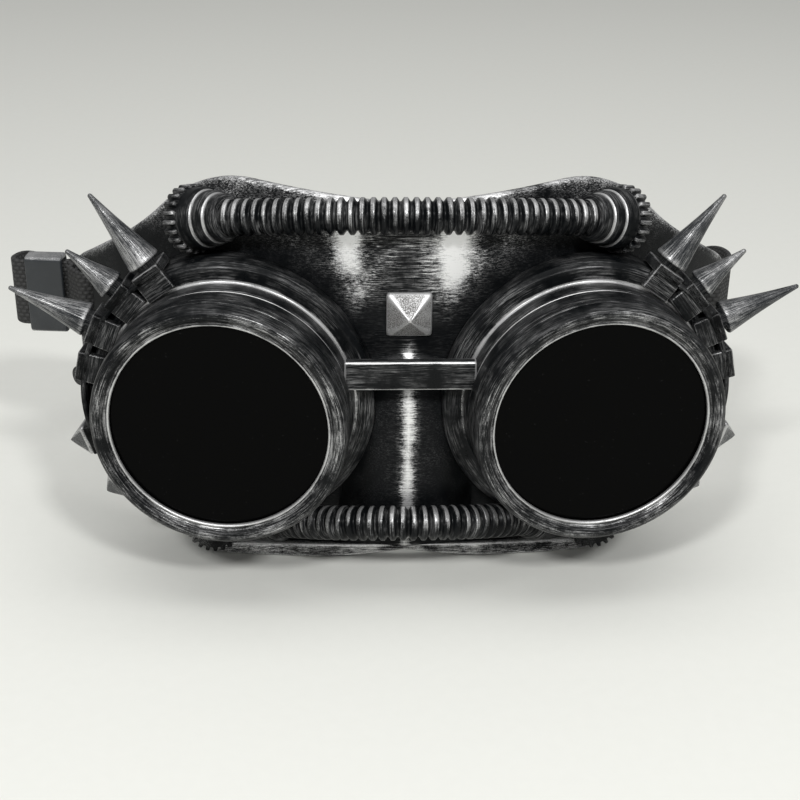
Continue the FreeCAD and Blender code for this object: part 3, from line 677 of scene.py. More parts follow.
# %% Mask shell
outer, inner, face_wear_and_glare, rim_edge = shell_points()
across = np.array([STROKE, 1.0, 1.0])
mask = make_piece("mask_shell_skin", [(outer, face_wear_and_glare, False, False, outer * across),
                                      (inner, rim_edge * 0.6, False, False, inner * across)],
                  "mask", SHELL, ["mask_shell"], weld=2e-5)
hole = np.array([(0.0, -20 * MM), (BORE, -20 * MM), (BORE, 120 * MM), (0.0, 120 * MM)])
slot_place = TEMPLE.copy()
slot_place[:3, 3] = carry(np.array([0.0, -SLOT_INSET, 0.0]), TEMPLE)
hole_grid = lathe(hole, np.zeros(4), BARREL, 128)
slot_box = rounded_box(SLOT_SIZE, 1.0 * MM, slot_place, shine=0.0)
cutters = []
for side_name, side in SIDES.items():
    cutters.append(cutter_object(side_name + "_hole", mirrored_grids([hole_grid], side)))
    cutters.append(cutter_object(side_name + "_slot", mirrored_grids(slot_box, side)))
cut_with(mask, cutters)
mask.data.shade_smooth()
print("mask shell:", len(mask.data.polygons), "faces")

# %% [markdown]
# The mask stands on a narrow ledge under the face, moulded with the shell. It could be part of the
# shell's grid, but it juts out where that grid turns away, so it is swept on its own into the wall.

# %% Ledge
def lip_grid(half=52.0 * MM, top=4.0 * MM, front=24.0 * MM, sweep=3.0 * MM, columns=81):
    """Ledge under the face: a section with a rounded nose, swept on a flat arc into the shell."""
    x = np.linspace(-half, half, columns)
    nose = front + sweep * (x / half) ** 2
    low = np.interp(np.abs(x), LOW_LINE[:, 0], LOW_LINE[:, 1])
    back = mask_front(x, np.full_like(x, top)) + WALL / 2
    section = ((1.0, 0.0), (0.5, 0.0), (0.12, 0.0), (0.03, 0.08), (0.0, 0.25),
               (0.0, 0.75), (0.03, 0.92), (0.12, 1.0), (0.5, 1.0), (1.0, 1.0))
    rings = []
    for depth, height in section:
        y = nose + (back - nose) * depth
        rings.append(np.stack([x, y, low + (top - low) * height], -1))
    points = np.stack(rings, 1)
    middle = points.mean(1, keepdims=True)
    points = np.concatenate([middle[:1] + 0 * points[:1], points, middle[-1:] + 0 * points[:1]])
    edge = np.array([0, 0, 0.2, 0.8, 0.5, 0.5, 1.0, 0.8, 0.2, 0.0])[None, :]
    return points, edge, False, True, points * np.array([STROKE, 1.0, 1.0])


ledge = make_piece("mask_lip", [lip_grid()], "mask", SHELL)
print("ledge:", len(ledge.data.polygons), "faces")

# %% [markdown]
# The eye cups are turned pieces, but their back edge has to lie on the curved mask. They could be cut
# off along it; pushing the last rings of the profile back, angle by angle, until they meet the mask's
# face keeps the grid even.

# %% Eye cups
def reach_face(radius, angle, turns=30):
    """Distance along the barrel axis where a tube of this radius meets the mask's face, for each angle.

    It starts from a guess and steps most of the way to the face again and again.
    """
    distance = np.full_like(angle, 30 * MM)
    for _ in range(turns):
        local = np.stack([radius * np.cos(angle), distance, radius * np.sin(angle)], -1)
        placed = carry(local, BARREL)
        distance = distance + 0.8 * (mask_front(placed[:, 0], placed[:, 2]) - placed[:, 1])
    return distance


def cup_grid(segments=160):
    """Lathe grid of the cup whose outer and inner walls end on the mask, sunk half a wall into it."""
    front, flange, flange_back = 5.1 * MM, 15.4 * MM, 20.4 * MM
    barrel, wall, groove = 30.0 * MM, 33.4 * MM, 0.6 * MM
    middle = (front + flange) / 2
    corners = [(BORE, flange_back), (BORE, front), (barrel, front), (barrel, middle - groove),
               (barrel - groove, middle), (barrel, middle + groove), (barrel, flange),
               (FLANGE - 1.3 * MM, flange), (FLANGE, flange + 1.3 * MM), (FLANGE, flange_back),
               (wall, flange_back), (wall, flange_back + 1.0 * MM)]
    profile, edges = fade_edges(*rounded_profile(corners, 0.45 * MM), 0.5 * MM)
    points, edge, whole, _, brush = lathe(profile, edges, np.eye(4), segments)
    angle = np.linspace(0, 2 * math.pi, segments, endpoint=False)
    rings = []
    for radius, share in ((wall, 0.5), (wall, 1.0), (31.0 * MM, 1.0), (31.0 * MM, 0.0)):
        end = reach_face(radius, angle) + WALL / 2
        distance = flange_back + (end - flange_back) * share
        rings.append(np.stack([radius * np.cos(angle), distance, radius * np.sin(angle)], -1))
    points = np.concatenate([points, np.stack(rings, 1)], 1)
    # Silver on the cup's edges is strongest on top and faint underneath: painted light from above.
    upper = np.clip(0.55 + 0.60 * np.sin(angle), 0.15, 1.0)[:, None]
    edge = np.concatenate([edge, np.zeros((1, 4))], 1) * upper
    beyond = np.repeat(brush[:, -1:], 4, 1) + np.arange(1, 5)[None, :, None] * 3 * MM
    brush = np.concatenate([brush, beyond], 1)
    return carry(points, BARREL), edge, True, True, brush


for side_name, side in SIDES.items():
    cup = make_piece(side_name + "_cup", mirrored_grids([cup_grid()], side), "mask",
                     BLACK, [side_name + "_eye_cup"])
print("eye cup:", len(cup.data.polygons), "faces")

# %% [markdown]
# The screw rim is the ring that holds the lens in the cup. It is turned too. A plain sleeve would do
# while it is screwed home, but a thread shows when it comes out, so the radius of the sleeve's rings
# follows a wave that climbs one pitch each time round, in two starts.

# %% Screw rims
THREAD_PITCH = 3.0 * MM


def rim_grids(segments=192):
    """The rim's bezel as a rounded lathe, and its threaded sleeve as a wavy tube closed at the back."""
    lip, nose, outer, back = 25.5 * MM, 1.6 * MM, 30.15 * MM, 4.8 * MM
    sleeve, bore = 28.4 * MM, 27.0 * MM
    corners = [(bore, 10.0 * MM), (bore, 0.6 * MM), (lip, 0.6 * MM), (lip, -0.2 * MM),
               (lip + 0.25 * MM, -0.5 * MM), (lip + 0.6 * MM, -0.5 * MM), (lip + 0.9 * MM, -0.25 * MM),
               (lip + 1.9 * MM, -nose + 0.2 * MM), (lip + 2.5 * MM, -nose), (outer - 1.3 * MM, -nose),
               (outer - 0.3 * MM, -nose + 0.8 * MM), (outer, 0.8 * MM), (outer, 2.4 * MM),
               (outer - 0.35 * MM, 2.7 * MM), (outer, 3.0 * MM), (outer, back - 0.6 * MM),
               (outer - 0.6 * MM, back), (sleeve - 0.3 * MM, back)]
    profile, edges = fade_edges(*rounded_profile(np.array(corners), 0.4 * MM), 0.5 * MM)
    crown = 0.34 * np.clip((-profile[:, 1] - 0.8 * MM) / (0.6 * MM), 0, 1)
    near_lip = np.clip(1.4 - np.abs(profile[:, 0] - lip) / (0.6 * MM), 0, 1)
    inner_line = near_lip * (profile[:, 1] < 0.3 * MM)
    shine = np.maximum(np.maximum(0.5 * edges, crown), inner_line)
    bezel, shine, _, _, bezel_brush = lathe(profile, shine, np.eye(4), segments)
    angle = np.linspace(0, 2 * math.pi, segments, endpoint=False)[:, None]
    sleeve_end = back + 5.5 * MM
    along = np.linspace(back, sleeve_end, 45)[None, :]
    fade = np.clip(np.minimum(along - back, sleeve_end - along) / (0.8 * MM), 0, 1)
    wave = np.cos(2 * math.pi * (along / THREAD_PITCH * 2 - angle / math.pi))
    radius = sleeve - 0.3 * MM + 0.28 * MM * fade * np.clip(wave, -0.6, 0.8)
    tube = np.stack([radius * np.cos(angle), along + 0 * angle, radius * np.sin(angle)], -1)
    end = np.stack([bore * np.cos(angle), 0 * angle + 10.0 * MM, bore * np.sin(angle)], -1)
    tube = np.concatenate([tube, end], 1)
    return [(carry(bezel, BARREL), shine, True, False, bezel_brush),
            (carry(tube, BARREL), 0.0, True, False, tube)]


# %% [markdown]
# A lens is a thin dark disc, and a gasket is the rubber ring behind it that the rim presses on. A flat
# disc would do from the front; a slight dome bends what it mirrors, as a moulded lens does.

# %% Lenses and gaskets
def lens_grid():
    """Thin disc, slightly domed to the front, with a bevelled rim."""
    radius, front, back = 26.7 * MM, 0.9 * MM, 2.9 * MM
    reach = np.linspace(0, 1, 24) * (radius - 0.3 * MM)
    dome = front - 0.35 * MM * np.cos(reach / radius * math.pi / 2) ** 2
    face = np.stack([reach, np.where(reach < 25.8 * MM, dome, front)], -1)
    ring = np.array([(radius, front + 0.3 * MM), (radius, back - 0.3 * MM),
                     (radius - 0.3 * MM, back), (0.0, back)])
    profile = np.concatenate([face, ring])
    return lathe(profile, np.zeros(len(profile)), BARREL, 128)


GASKET = np.array([(25.9, 2.9), (26.7, 2.9), (26.7, 4.9), (25.9, 4.9), (25.9, 2.9)]) * MM
gasket_ring = turned(GASKET, 0.35 * MM, BARREL, 128)
for side_name, side in SIDES.items():
    unit = side_name + "_lens_unit"
    make_piece(side_name + "_rim", mirrored_grids(rim_grids(), side), side_name + "_rim",
               BLACK, [side_name + "_lens_rim"])
    make_piece(side_name + "_glass", mirrored_grids([lens_grid()], side), unit, LENS,
               [side_name + "_lens"])
    make_piece(side_name + "_gasket", mirrored_grids([gasket_ring], side), unit, RUBBER,
               [side_name + "_lens_gasket"])
print("rims, lenses and gaskets made")

# %% [markdown]
# The collar is a curved band round the flange that carries flat blocks. They could be cut from one
# ring; here each block is a rounded cap on the band and a plate standing in front of it, so that
# each takes the silver on its own edges. Spikes and studs stand on the caps.

# %% Spike collars
BLOCK_TOP = 37.3 * MM
COLLAR_MIDDLE = 17.9 * MM
SPIKES = {"upper": (60.0, 21.0, 4.1), "middle": (45.0, 14.5, 3.6), "lower": (28.5, 21.0, 4.1)}
STUDS = {"upper": -19.0, "lower": -40.5}
SIDE_STUD_HEIGHT = 6.2
BARE_ANGLE = 12.5
SPIKE_LEAN = -6.5
BLOCK_WIDTH = 7.53 * MM


def around(angle):
    """Unit vector at an angle round the barrel axis, from straight outwards."""
    return np.array([math.cos(math.radians(angle)), 0.0, math.sin(math.radians(angle))])


def collar_place(angle, lean=0.0, height=0.0, shift=0.0):
    """Frame on the block at this angle round the barrel: Y out and leaned, X along the barrel axis."""
    origin = around(angle) * BLOCK_TOP + np.array([0.0, COLLAR_MIDDLE, 0.0])
    place = BARREL @ placement(origin, around(angle + lean), (0.0, 1.0, 0.0))
    place[:3, 3] = carry(np.array([shift, height, 0.0]), place)
    return place


def collar_grids():
    """Curved band, and per block a cap over the flange and a tall plate in front of it."""
    blocks = [(entry[0], SPIKE_LEAN) for entry in SPIKES.values()]
    blocks += [(angle, 0.0) for angle in list(STUDS.values()) + [BARE_ANGLE]]
    angles = [angle for angle, lean in blocks]
    inside, outside, low, high = FLANGE + 0.02 * MM, 35.9 * MM, 13.4 * MM, 22.4 * MM
    corners = [(inside, low), (outside, low), (outside, high), (inside, high), (inside, low)]
    profile, edges = fade_edges(*rounded_profile(np.array(corners), 0.35 * MM), 0.4 * MM)
    sweep = (math.radians(min(angles) - 6.0), math.radians(max(angles) + 6.0))
    band, edges, _, _, band_brush = lathe(profile, edges, BARREL, 96, sweep)
    grids = [(band, edges, False, True, band_brush)]
    for angle, lean in blocks:
        cap = collar_place(angle, lean, -1.25 * MM)
        plate = collar_place(angle, lean, -3.45 * MM, -3.55 * MM)
        grids += rounded_box((9.0 * MM, 2.5 * MM, BLOCK_WIDTH), 0.45 * MM, cap, 3, 0.5)
        grids += rounded_box((1.9 * MM, 6.9 * MM, BLOCK_WIDTH), 0.45 * MM, plate, 3, 0.5)
    return grids


for side_name, side in SIDES.items():
    make_piece(side_name + "_collar", mirrored_grids(collar_grids(), side), "mask", GEAR,
               [side_name + "_spike_collar"])
print("collars made")

# %% [markdown]
# A spike is a turned cone on a short neck. Blender's own cone would be too perfect: this side is
# faintly hollow and the tip is rounded, as on moulded and silvered plastic. A stud is a low square
# pyramid with blunted ridges: round the axis its radius follows a rounded square, and it shrinks
# evenly to the apex.

# %% Spikes and studs
def spike_grid(place, length, radius):
    """Lathe grid of neck, foot flange and slightly hollow cone; silver all over, most at foot and tip."""
    share = np.linspace(0, 1, 22)
    cone_r = (radius - 0.05) * (1 - share) + 0.55 * share - 0.22 * np.sin(share * math.pi)
    cone_t = 2.0 + (length - 0.55 - 2.0) * share
    tip = np.linspace(0.25, math.pi / 2, 6)
    rows = [(0.0, -0.3), (2.6, -0.3), (2.6, 1.2), (radius - 0.25, 1.2), (radius, 1.45), (radius, 1.75)]
    rows += list(zip(cone_r, cone_t)) + list(zip(0.57 * np.cos(tip), length - 0.57 + 0.57 * np.sin(tip)))
    profile = np.array(rows) * MM
    profile[-1, 0] = 0.0
    edge = np.full(len(profile), 0.40)
    edge[:4] = 0.2
    edge[4:7] = 0.6
    return lathe(profile, edge, place, 64, strokes="along")


def pyramid_grids(place, size, height, skirt=0.8, blunt=16.0, segments=96, rings=14):
    """Square pyramid on a skirt: a rounded-square ring drawn in evenly to a slightly rounded apex."""
    angle = np.linspace(0, 2 * math.pi, segments, endpoint=False)[:, None]
    square = 1.0 / (np.abs(np.cos(angle)) ** blunt + np.abs(np.sin(angle)) ** blunt) ** (1 / blunt)
    share = np.linspace(0, 1, rings)[None, :]
    reach = size / 2 * (1 - share)
    rise = skirt + (height - skirt) * share - 0.25 * share ** 8
    reach = np.concatenate([[[0.0, size / 2, size / 2]], reach[:, 1:]], 1)
    rise = np.concatenate([[[-0.3, -0.3, skirt]], rise[:, 1:]], 1)
    ridge = np.clip((square - 1.22) / 0.18, 0, 1) + np.zeros_like(reach)
    edge = np.maximum(ridge, np.clip(1.0 - np.abs(np.arange(reach.shape[1]) - 2), 0, 1)[None, :])
    radius = reach * square
    points = np.stack([radius * np.cos(angle), rise + 0 * angle, radius * np.sin(angle)], -1) * MM
    return [(carry(points, place), 0.35 + 0.65 * edge, True, False, points + place[:3, 3])]


for side_name, side in SIDES.items():
    for name, (angle, length, radius) in SPIKES.items():
        spike = spike_grid(collar_place(angle, SPIKE_LEAN), length, radius)
        make_piece(f"{side_name}_{name}_cone", mirrored_grids([spike], side), "mask",
                   SPIKE, [f"{side_name}_{name}_spike"])
    for name, angle in STUDS.items():
        stud = pyramid_grids(collar_place(angle), BLOCK_WIDTH / MM, SIDE_STUD_HEIGHT)
        make_piece(f"{side_name}_{name}_pyramid", mirrored_grids(stud, side), "mask",
                   SPIKE, [f"{side_name}_{name}_side_stud"])
print("spikes and studs made")

# %% [markdown]
# Between the barrels sit a flat bridge bar and, above it, a bright pyramid stud on the brow.
# Both are the block and the stud from before in other sizes, so the same functions serve again.
# The bar runs from barrel to barrel.

# %% Bridge bar and brow stud
BRIDGE_SIZE = np.array([31.0, 2.6, 7.2]) * MM
BRIDGE_MIDDLE = np.array([0.0, 8.0, 59.8]) * MM
BROW_STUD_SEAT = np.array([0.0, 18.2, 71.0]) * MM
BROW_STUD_SIZE, BROW_STUD_HEIGHT = 10.8, 5.6

bridge_place = np.eye(4)
bridge_place[:3, 3] = BRIDGE_MIDDLE
bar = rounded_box(BRIDGE_SIZE, 0.6 * MM, bridge_place, strokes=(STROKE, 1.0, 1.0))
make_piece("bridge_plate", bar, "mask", BLACK, ["bridge_bar"])
stud_place = placement(BROW_STUD_SEAT, (0.0, -1.0, 0.0), (1.0, 0.0, 0.0))
brow_stud = pyramid_grids(stud_place, BROW_STUD_SIZE, BROW_STUD_HEIGHT)
make_piece("brow_pyramid", brow_stud, "mask", NICKEL, ["center_stud"])
print("bridge and brow stud made")

# %% [markdown]
# The hoses are corrugated tubes that follow a flat arc with straight ends. An Array modifier could
# repeat one ring along a curve, but the ribs of a hose run into each other. So the radius rises and
# falls once per rib along the path, with round crests and narrow grooves, and the crests take the silver.

# %% Ribbed hoses
HOSE = {"radius": 4.3 * MM, "groove": 0.75 * MM, "bore": 2.8 * MM, "pitch": 2.45 * MM}


def hose_path(arc, half_angle, distance):
    """Points and directions along the hose, from its middle, in its own plane."""
    reach = arc * math.radians(half_angle)
    side, along = np.sign(distance), np.minimum(np.abs(distance), reach)
    turn = along / arc
    point = np.stack([side * arc * np.sin(turn), arc * (1 - np.cos(turn)), 0 * turn], -1)
    ahead = np.stack([np.cos(turn), side * np.sin(turn), 0 * turn], -1)
    return point + ahead * (side * (np.abs(distance) - along))[:, None], ahead


def hose_grid(arc, half_angle, plane, segments=48, per_rib=14):
    """Tube grid over (along, round): the radius is a clipped wave of the rib count.

    Two rings at each end turn the tube in to its bore.
    """
    half = arc * math.radians(half_angle) + 2 * HOSE["radius"]
    ribs = round(2 * half / HOSE["pitch"])
    distance = np.linspace(-half, half, ribs * per_rib + 1)
    phase = (distance + half) / (2 * half) * ribs
    crest = np.clip(0.62 + 0.72 * np.sin(2 * math.pi * phase - math.pi / 2), 0, 1) ** 0.7
    radius = HOSE["radius"] - HOSE["groove"] * 1.25 * (1 - crest)
    point, ahead = hose_path(arc, half_angle, distance)
    inward = 1.5 * MM
    first = point[:1] + np.array([[inward], [0.0]]) * ahead[:1]
    last = point[-1:] - np.array([[0.0], [inward]]) * ahead[-1:]
    point = np.concatenate([first, point, last])
    ahead = np.pad(ahead, ((2, 2), (0, 0)), mode="edge")
    radius = np.pad(radius, 2, constant_values=HOSE["bore"])
    crest = np.pad(crest, 2)
    up = np.array([0.0, 0.0, 1.0])
    across = np.cross(ahead, up)
    angle = np.linspace(0, 2 * math.pi, segments, endpoint=False)
    ring = np.cos(angle)[None, :, None] * across[:, None, :] + np.sin(angle)[None, :, None] * up
    points = point[:, None, :] + ring * radius[:, None, None]
    # Silver is kept to the upper front of each rib: partly where the brush touches, partly painted light
    # from above with painted shade underneath.
    touched_and_lit = np.clip(0.2 + 0.65 * np.sin(angle) + 0.55 * np.cos(angle), 0, 1)
    edge = np.clip(crest * 2.6 - 1.75, 0, 0.75)[:, None] * touched_and_lit[None, :]
    placed = carry(points, plane)
    run = np.concatenate([[0.0], np.cumsum(np.linalg.norm(np.diff(point, axis=0), axis=1))])[:, None]
    turn = HOSE["radius"] * STROKE * np.exp(1j * angle)[None, :] + 0 * run
    return placed, edge, False, True, np.stack([turn.real, run + 0 * turn.real, turn.imag], -1)


def hose_end(arc, half_angle, plane):
    """Frame at the right-hand hose end, Y running on along the hose."""
    half = arc * math.radians(half_angle) + 2 * HOSE["radius"]
    point, ahead = hose_path(arc, half_angle, np.array([half]))
    return plane @ placement(point[0], ahead[0], (0.0, 0.0, 1.0))


TOP_ARC, TOP_ANGLE = 112.0 * MM, 18.02
LOW_ARC, LOW_ANGLE = 34.0 * MM, 48.0
TOP_FRONT = AXIS_Y - float(face_radius(96.0 * MM)) - HOSE["radius"] - 0.3 * MM
TOP_PLANE = placement((0.0, TOP_FRONT, 96.0 * MM), (0.0, 1.0, -0.38), (1.0, 0.0, 0.0))
LOW_PLANE = placement(np.array([0.0, 7.4, 20.0]) * MM, (0.0, 1.0, -0.52), (1.0, 0.0, 0.0))
upper_hose = hose_grid(TOP_ARC, TOP_ANGLE, TOP_PLANE)
lower_hose = hose_grid(LOW_ARC, LOW_ANGLE, LOW_PLANE)
make_piece("upper_ribs", [upper_hose], "mask", RIBBED, ["top_hose"])
make_piece("lower_ribs", [lower_hose], "mask", RIBBED, ["bottom_hose"])
print("hoses made")

# %% [markdown]
# Hubs are stepped sockets turned round the hose's end. Toothed wheels could have their gaps cut out
# one by one; here they are lathes whose outer rings swell and shrink with the angle. A clipped wave
# gives each tooth a flat tip and a flat root, and the tips take the silver.

# %% Hubs and toothed wheels
def hub_grid(place, steps, fillet=0.4):
    """Stepped lathe: each step starts with a rebate behind a rounded front edge."""
    corners, at = [(0.0, 0.0)], 0.0
    for radius, length in steps:
        corners += [(radius - 0.9, at), (radius - 0.25, at + 0.3), (radius, at + 0.9)]
        at += length
        corners.append((radius, at))
    corners.append((0.0, at))
    return turned(np.array(corners) * MM, fillet * MM, place, 72, 0.35 * MM)


def wheel_grid(place, radius, tooth, teeth, thickness, dish=0.35):
    """Lathe rings whose radius follows the tooth wave, with chamfered tooth ends and dished faces."""
    angle = np.linspace(0, 2 * math.pi, teeth * 16, endpoint=False)[:, None]
    wave = np.clip(0.5 + 1.1 * np.cos(angle * teeth), 0, 1)
    outer = radius - tooth * (1 - wave)
    ends = 0.35
    stations = [(0.0, dish, 0, 0.0), (0.55, dish, 0, 0.0), (0.62, 0.0, 0, 0.3), (0.80, 0.0, 0, 0.25),
                (1.0, 0.0, -ends, 0.6), (1.0, ends, 0, 0.7), (1.0, thickness - ends, 0, 0.4),
                (1.0, thickness, -ends, 0.3), (0.62, thickness, 0, 0.3), (0.55, thickness - dish, 0, 0.0),
                (0.0, thickness - dish, 0, 0.0)]
    rows, edges = [], []
    for share, along, shrink, shine in stations:
        ring = (outer + shrink) if share == 1.0 else radius * share + 0 * outer
        rows.append(np.concatenate([ring * np.cos(angle), along + 0 * angle, ring * np.sin(angle)], 1))
        edges.append(shine * (wave if share == 1.0 else np.ones_like(wave))[:, 0])
    points = np.stack(rows, 1) * MM
    brush = points * np.array([1.0, STROKE, 1.0]) + place[:3, 3]
    return carry(points, place), np.stack(edges, 1), True, False, brush


def shifted(place, distance):
    """The same frame moved along its own Y."""
    moved = place.copy()
    moved[:3, 3] = carry(np.array([0.0, distance * MM, 0.0]), place)
    return moved


def face_place(x, z, radius):
    """Frame on the mask's face, Y pointing straight out of it."""
    angle = math.asin(x / radius)
    origin = (x * MM, AXIS_Y - radius * MM * math.cos(angle), z * MM)
    return placement(origin, (math.sin(angle), -math.cos(angle), 0.0), (0.0, 0.0, 1.0))


def held_in_front(grids):
    """The same grids with every point behind the mask's face brought forward into the mask's wall."""
    held = []
    for points, edge, rows, columns, brush in grids:
        wall = mask_front(points[..., 0], points[..., 2]) + WALL / 2
        front = np.stack([points[..., 0], np.minimum(points[..., 1], wall), points[..., 2]], -1)
        held.append((front, edge, rows, columns, brush))
    return held


# %% [markdown]
# The upper hubs sit on the hose's ends and carry their wheels behind them. The lower wheels stand by
# themselves on the mask's foot, and one more wheel with a knob sits on the left temple. All are drawn
# for the right side and mirrored for the left.

# %% Hubs and wheels in place
TOP_STEPS = ((5.6, 3.2), (6.5, 3.2), (7.4, 4.0))
LOW_STEPS = ((5.1, 2.2), (5.7, 12.0))
HUB_SEAT, HUB_TURN = 1.2 * MM, math.radians(22.0)
seat_turn = Matrix.Translation((0.0, -HUB_SEAT, 0.0)) @ Matrix.Rotation(HUB_TURN, 4, "X")
top_end = hose_end(TOP_ARC, TOP_ANGLE, TOP_PLANE) @ np.array(seat_turn)
low_end = hose_end(LOW_ARC, LOW_ANGLE, LOW_PLANE)
top_depth = sum(length for radius, length in TOP_STEPS)
FOOT_WHEEL_SEAT = np.array([49.0, 27.0, 9.55]) * MM
TEMPLE_WHEEL_SEAT = {"x": 80.5, "z": 40.0, "radius": 106.2}
TOP_WHEEL = {"radius": 8.2, "tooth": 1.1, "teeth": 22, "thickness": 3.6}
FOOT_WHEEL = {"radius": 7.0, "tooth": 1.1, "teeth": 20, "thickness": 3.6}
TEMPLE_WHEEL = {"radius": 6.0, "tooth": 0.9, "teeth": 18, "thickness": 3.0}
KNOB = np.array([(0.0, 2.6), (2.1, 2.6), (2.1, 4.4), (2.6, 4.4), (2.6, 6.5), (2.1, 7.0), (0.0, 7.0)]) * MM
foot_place = placement(FOOT_WHEEL_SEAT, (0.0, -1.0, 0.0), (0.0, 0.0, 1.0))
boss = np.array([(0.0, -16.0), (3.5, -16.0), (3.5, 4.2), (3.1, 4.4), (0.0, 4.4)]) * MM
for side_name, side in SIDES.items():
    pieces = {
        "top_hose_hub": [hub_grid(top_end, TOP_STEPS)],
        "bottom_hose_hub": [hub_grid(low_end, LOW_STEPS)],
        "top_gear": [wheel_grid(shifted(top_end, top_depth), **TOP_WHEEL)],
        "bottom_gear": [wheel_grid(foot_place, **FOOT_WHEEL), turned(boss, 0.3 * MM, foot_place, 64)],
    }
    for node, grids in pieces.items():
        seated = mirrored_grids(held_in_front(grids), side)
        make_piece(f"{side_name}_{node}_turned", seated, "mask", GEAR,
                   [f"{side_name}_{node}"])
temple_wheel_place = face_place(**TEMPLE_WHEEL_SEAT)
temple_wheel = held_in_front([wheel_grid(temple_wheel_place, **TEMPLE_WHEEL)])
make_piece("temple_wheel", mirrored_grids(temple_wheel, SIDES["left"]), "mask", GEAR,
           ["left_temple_gear"])
temple_knob = [turned(KNOB, 0.3 * MM, temple_wheel_place, 48)]
make_piece("temple_button", mirrored_grids(temple_knob, SIDES["left"]), "mask", GEAR,
           ["left_temple_knob"])
print("hubs and wheels made")

# %% [markdown]
# The strap is one band of elastic webbing. At each temple it goes through the slot, folds round the
# bar and is sewn to itself; then it turns back and lies down behind the mask. A cloth simulation could
# drop it there, but a path with named bends comes out the same each time.

# %% Strap path
STRAP_WIDTH, STRAP_THICK = 18.0 * MM, 1.4 * MM
STRAP_DROP = TEMPLE_ORIGIN[2] - STRAP_WIDTH / 2
STRAP_BACK_Y = 142.0 * MM
TAIL_HEADING = math.radians(5.0)
SIDE_HEADING = math.radians(105.0)
LOOP_END = 4.6 * MM
RUN_START = -8.0 * MM
STEP = 0.25 * MM


def smooth(value):
    """Soft step from 0 to 1."""
    value = np.clip(value, 0, 1)
    return value * value * (3 - 2 * value)


def strap_run(bends):
    """Plan points, headings and let-down shares along one side; headings turn evenly over each bend.

    Each bend is (start, length, new heading), measured from the temple edge along the strap. The last,
    large arc is as wide as it must be to bring the strap square to the middle plane at its back.
    """
    def walk(turns, end):
        distance = np.arange(RUN_START, end, STEP)
        knots, values = [RUN_START], [TEMPLE_ANGLE]
        for start, length, heading in turns:
            knots += [start, start + length]
            values += [values[-1], heading]
        heading = np.interp(distance, knots, values)
        steps = np.stack([np.cos(heading), np.sin(heading)], -1) * STEP
        start = TEMPLE_ORIGIN[:2] + TEMPLE_AHEAD[:2] * RUN_START
        return distance, start + np.cumsum(steps, 0) - steps, heading
    arc_start = bends[-1][0] + bends[-1][1]
    reached = walk(bends, arc_start)[1][-1, 1]
    arc = (STRAP_BACK_Y - reached) / (1 + math.cos(SIDE_HEADING)) * (math.pi - SIDE_HEADING)
    distance, plan, heading = walk(list(bends) + [(arc_start, arc, math.pi)], arc_start + arc)
    return distance, plan, heading, smooth((distance - arc_start) / (0.6 * arc))


def strap_side(bends, fold):
    """Path of one half: the sewn end, the loop round the bar, then out to the middle of the back."""
    layer, loop, turn_at = 0.72 * MM, 2.6 * MM, -3.5 * MM
    distance, plan, heading, share = strap_run(bends)
    back = np.arange(fold, turn_at, -2 * STEP)
    bow = np.linspace(0, math.pi, 22)[1:-1]
    ahead = distance[distance > fold]
    outer = layer + (loop - layer) * (1 - smooth((back - 0.8 * MM) / (2.8 * MM)))
    inner = layer + (loop - layer) * (1 - smooth((back - 3.4 * MM) / (2.8 * MM)))
    where = np.concatenate([back, turn_at - 2.3 * MM * np.sin(bow), back[::-1], ahead])
    joined = layer * (1 - smooth((ahead - fold) / (4 * MM)))
    offset = np.concatenate([-inner, -loop * np.cos(bow), outer[::-1], joined])
    x, y = np.interp(where, distance, plan[:, 0]), np.interp(where, distance, plan[:, 1])
    turn = np.interp(where, distance, heading)
    height = TEMPLE_ORIGIN[2] - STRAP_DROP * np.interp(where, distance, share)
    return np.stack([x + offset * np.sin(turn), y - offset * np.cos(turn), height], -1)


def rounded_rectangle(half_a, half_b, radius, steps=4, flats=10):
    """Closed loop of points round a rectangle with round corners, anticlockwise."""
    turn = np.linspace(0, math.pi / 2, steps + 1)
    loop = []
    for quarter, signs in enumerate(((1, 1), (-1, 1), (-1, -1), (1, -1))):
        centre = np.array(signs) * np.array([half_a - radius, half_b - radius])
        angle = turn + quarter * math.pi / 2
        loop.append(centre + radius * np.stack([np.cos(angle), np.sin(angle)], -1))
    loop = np.concatenate(loop)
    share = np.linspace(0, 1, flats, endpoint=False)[:, None]
    flat_after = np.arange(len(loop)) % (steps + 1) == steps
    spans = [a + (b - a) * (share if flat else share[:1])
             for a, b, flat in zip(loop, np.roll(loop, -1, 0), flat_after)]
    return np.concatenate(spans)


# %% [markdown]
# The two halves are joined at the back into one path. Across it goes the band's section, a flat
# rectangle with round corners, and two values run along and across for the weave.

# %% Strap
KINK_RADIUS, RIGHT_RADIUS = 2.4 * MM, 8.0 * MM
LEFT_FOLD, LEFT_TURN = LOOP_END + 12.6 * MM, LOOP_END + 13.6 * MM
RIGHT_FOLD, RIGHT_TURN = 5.5 * MM, 6.0 * MM

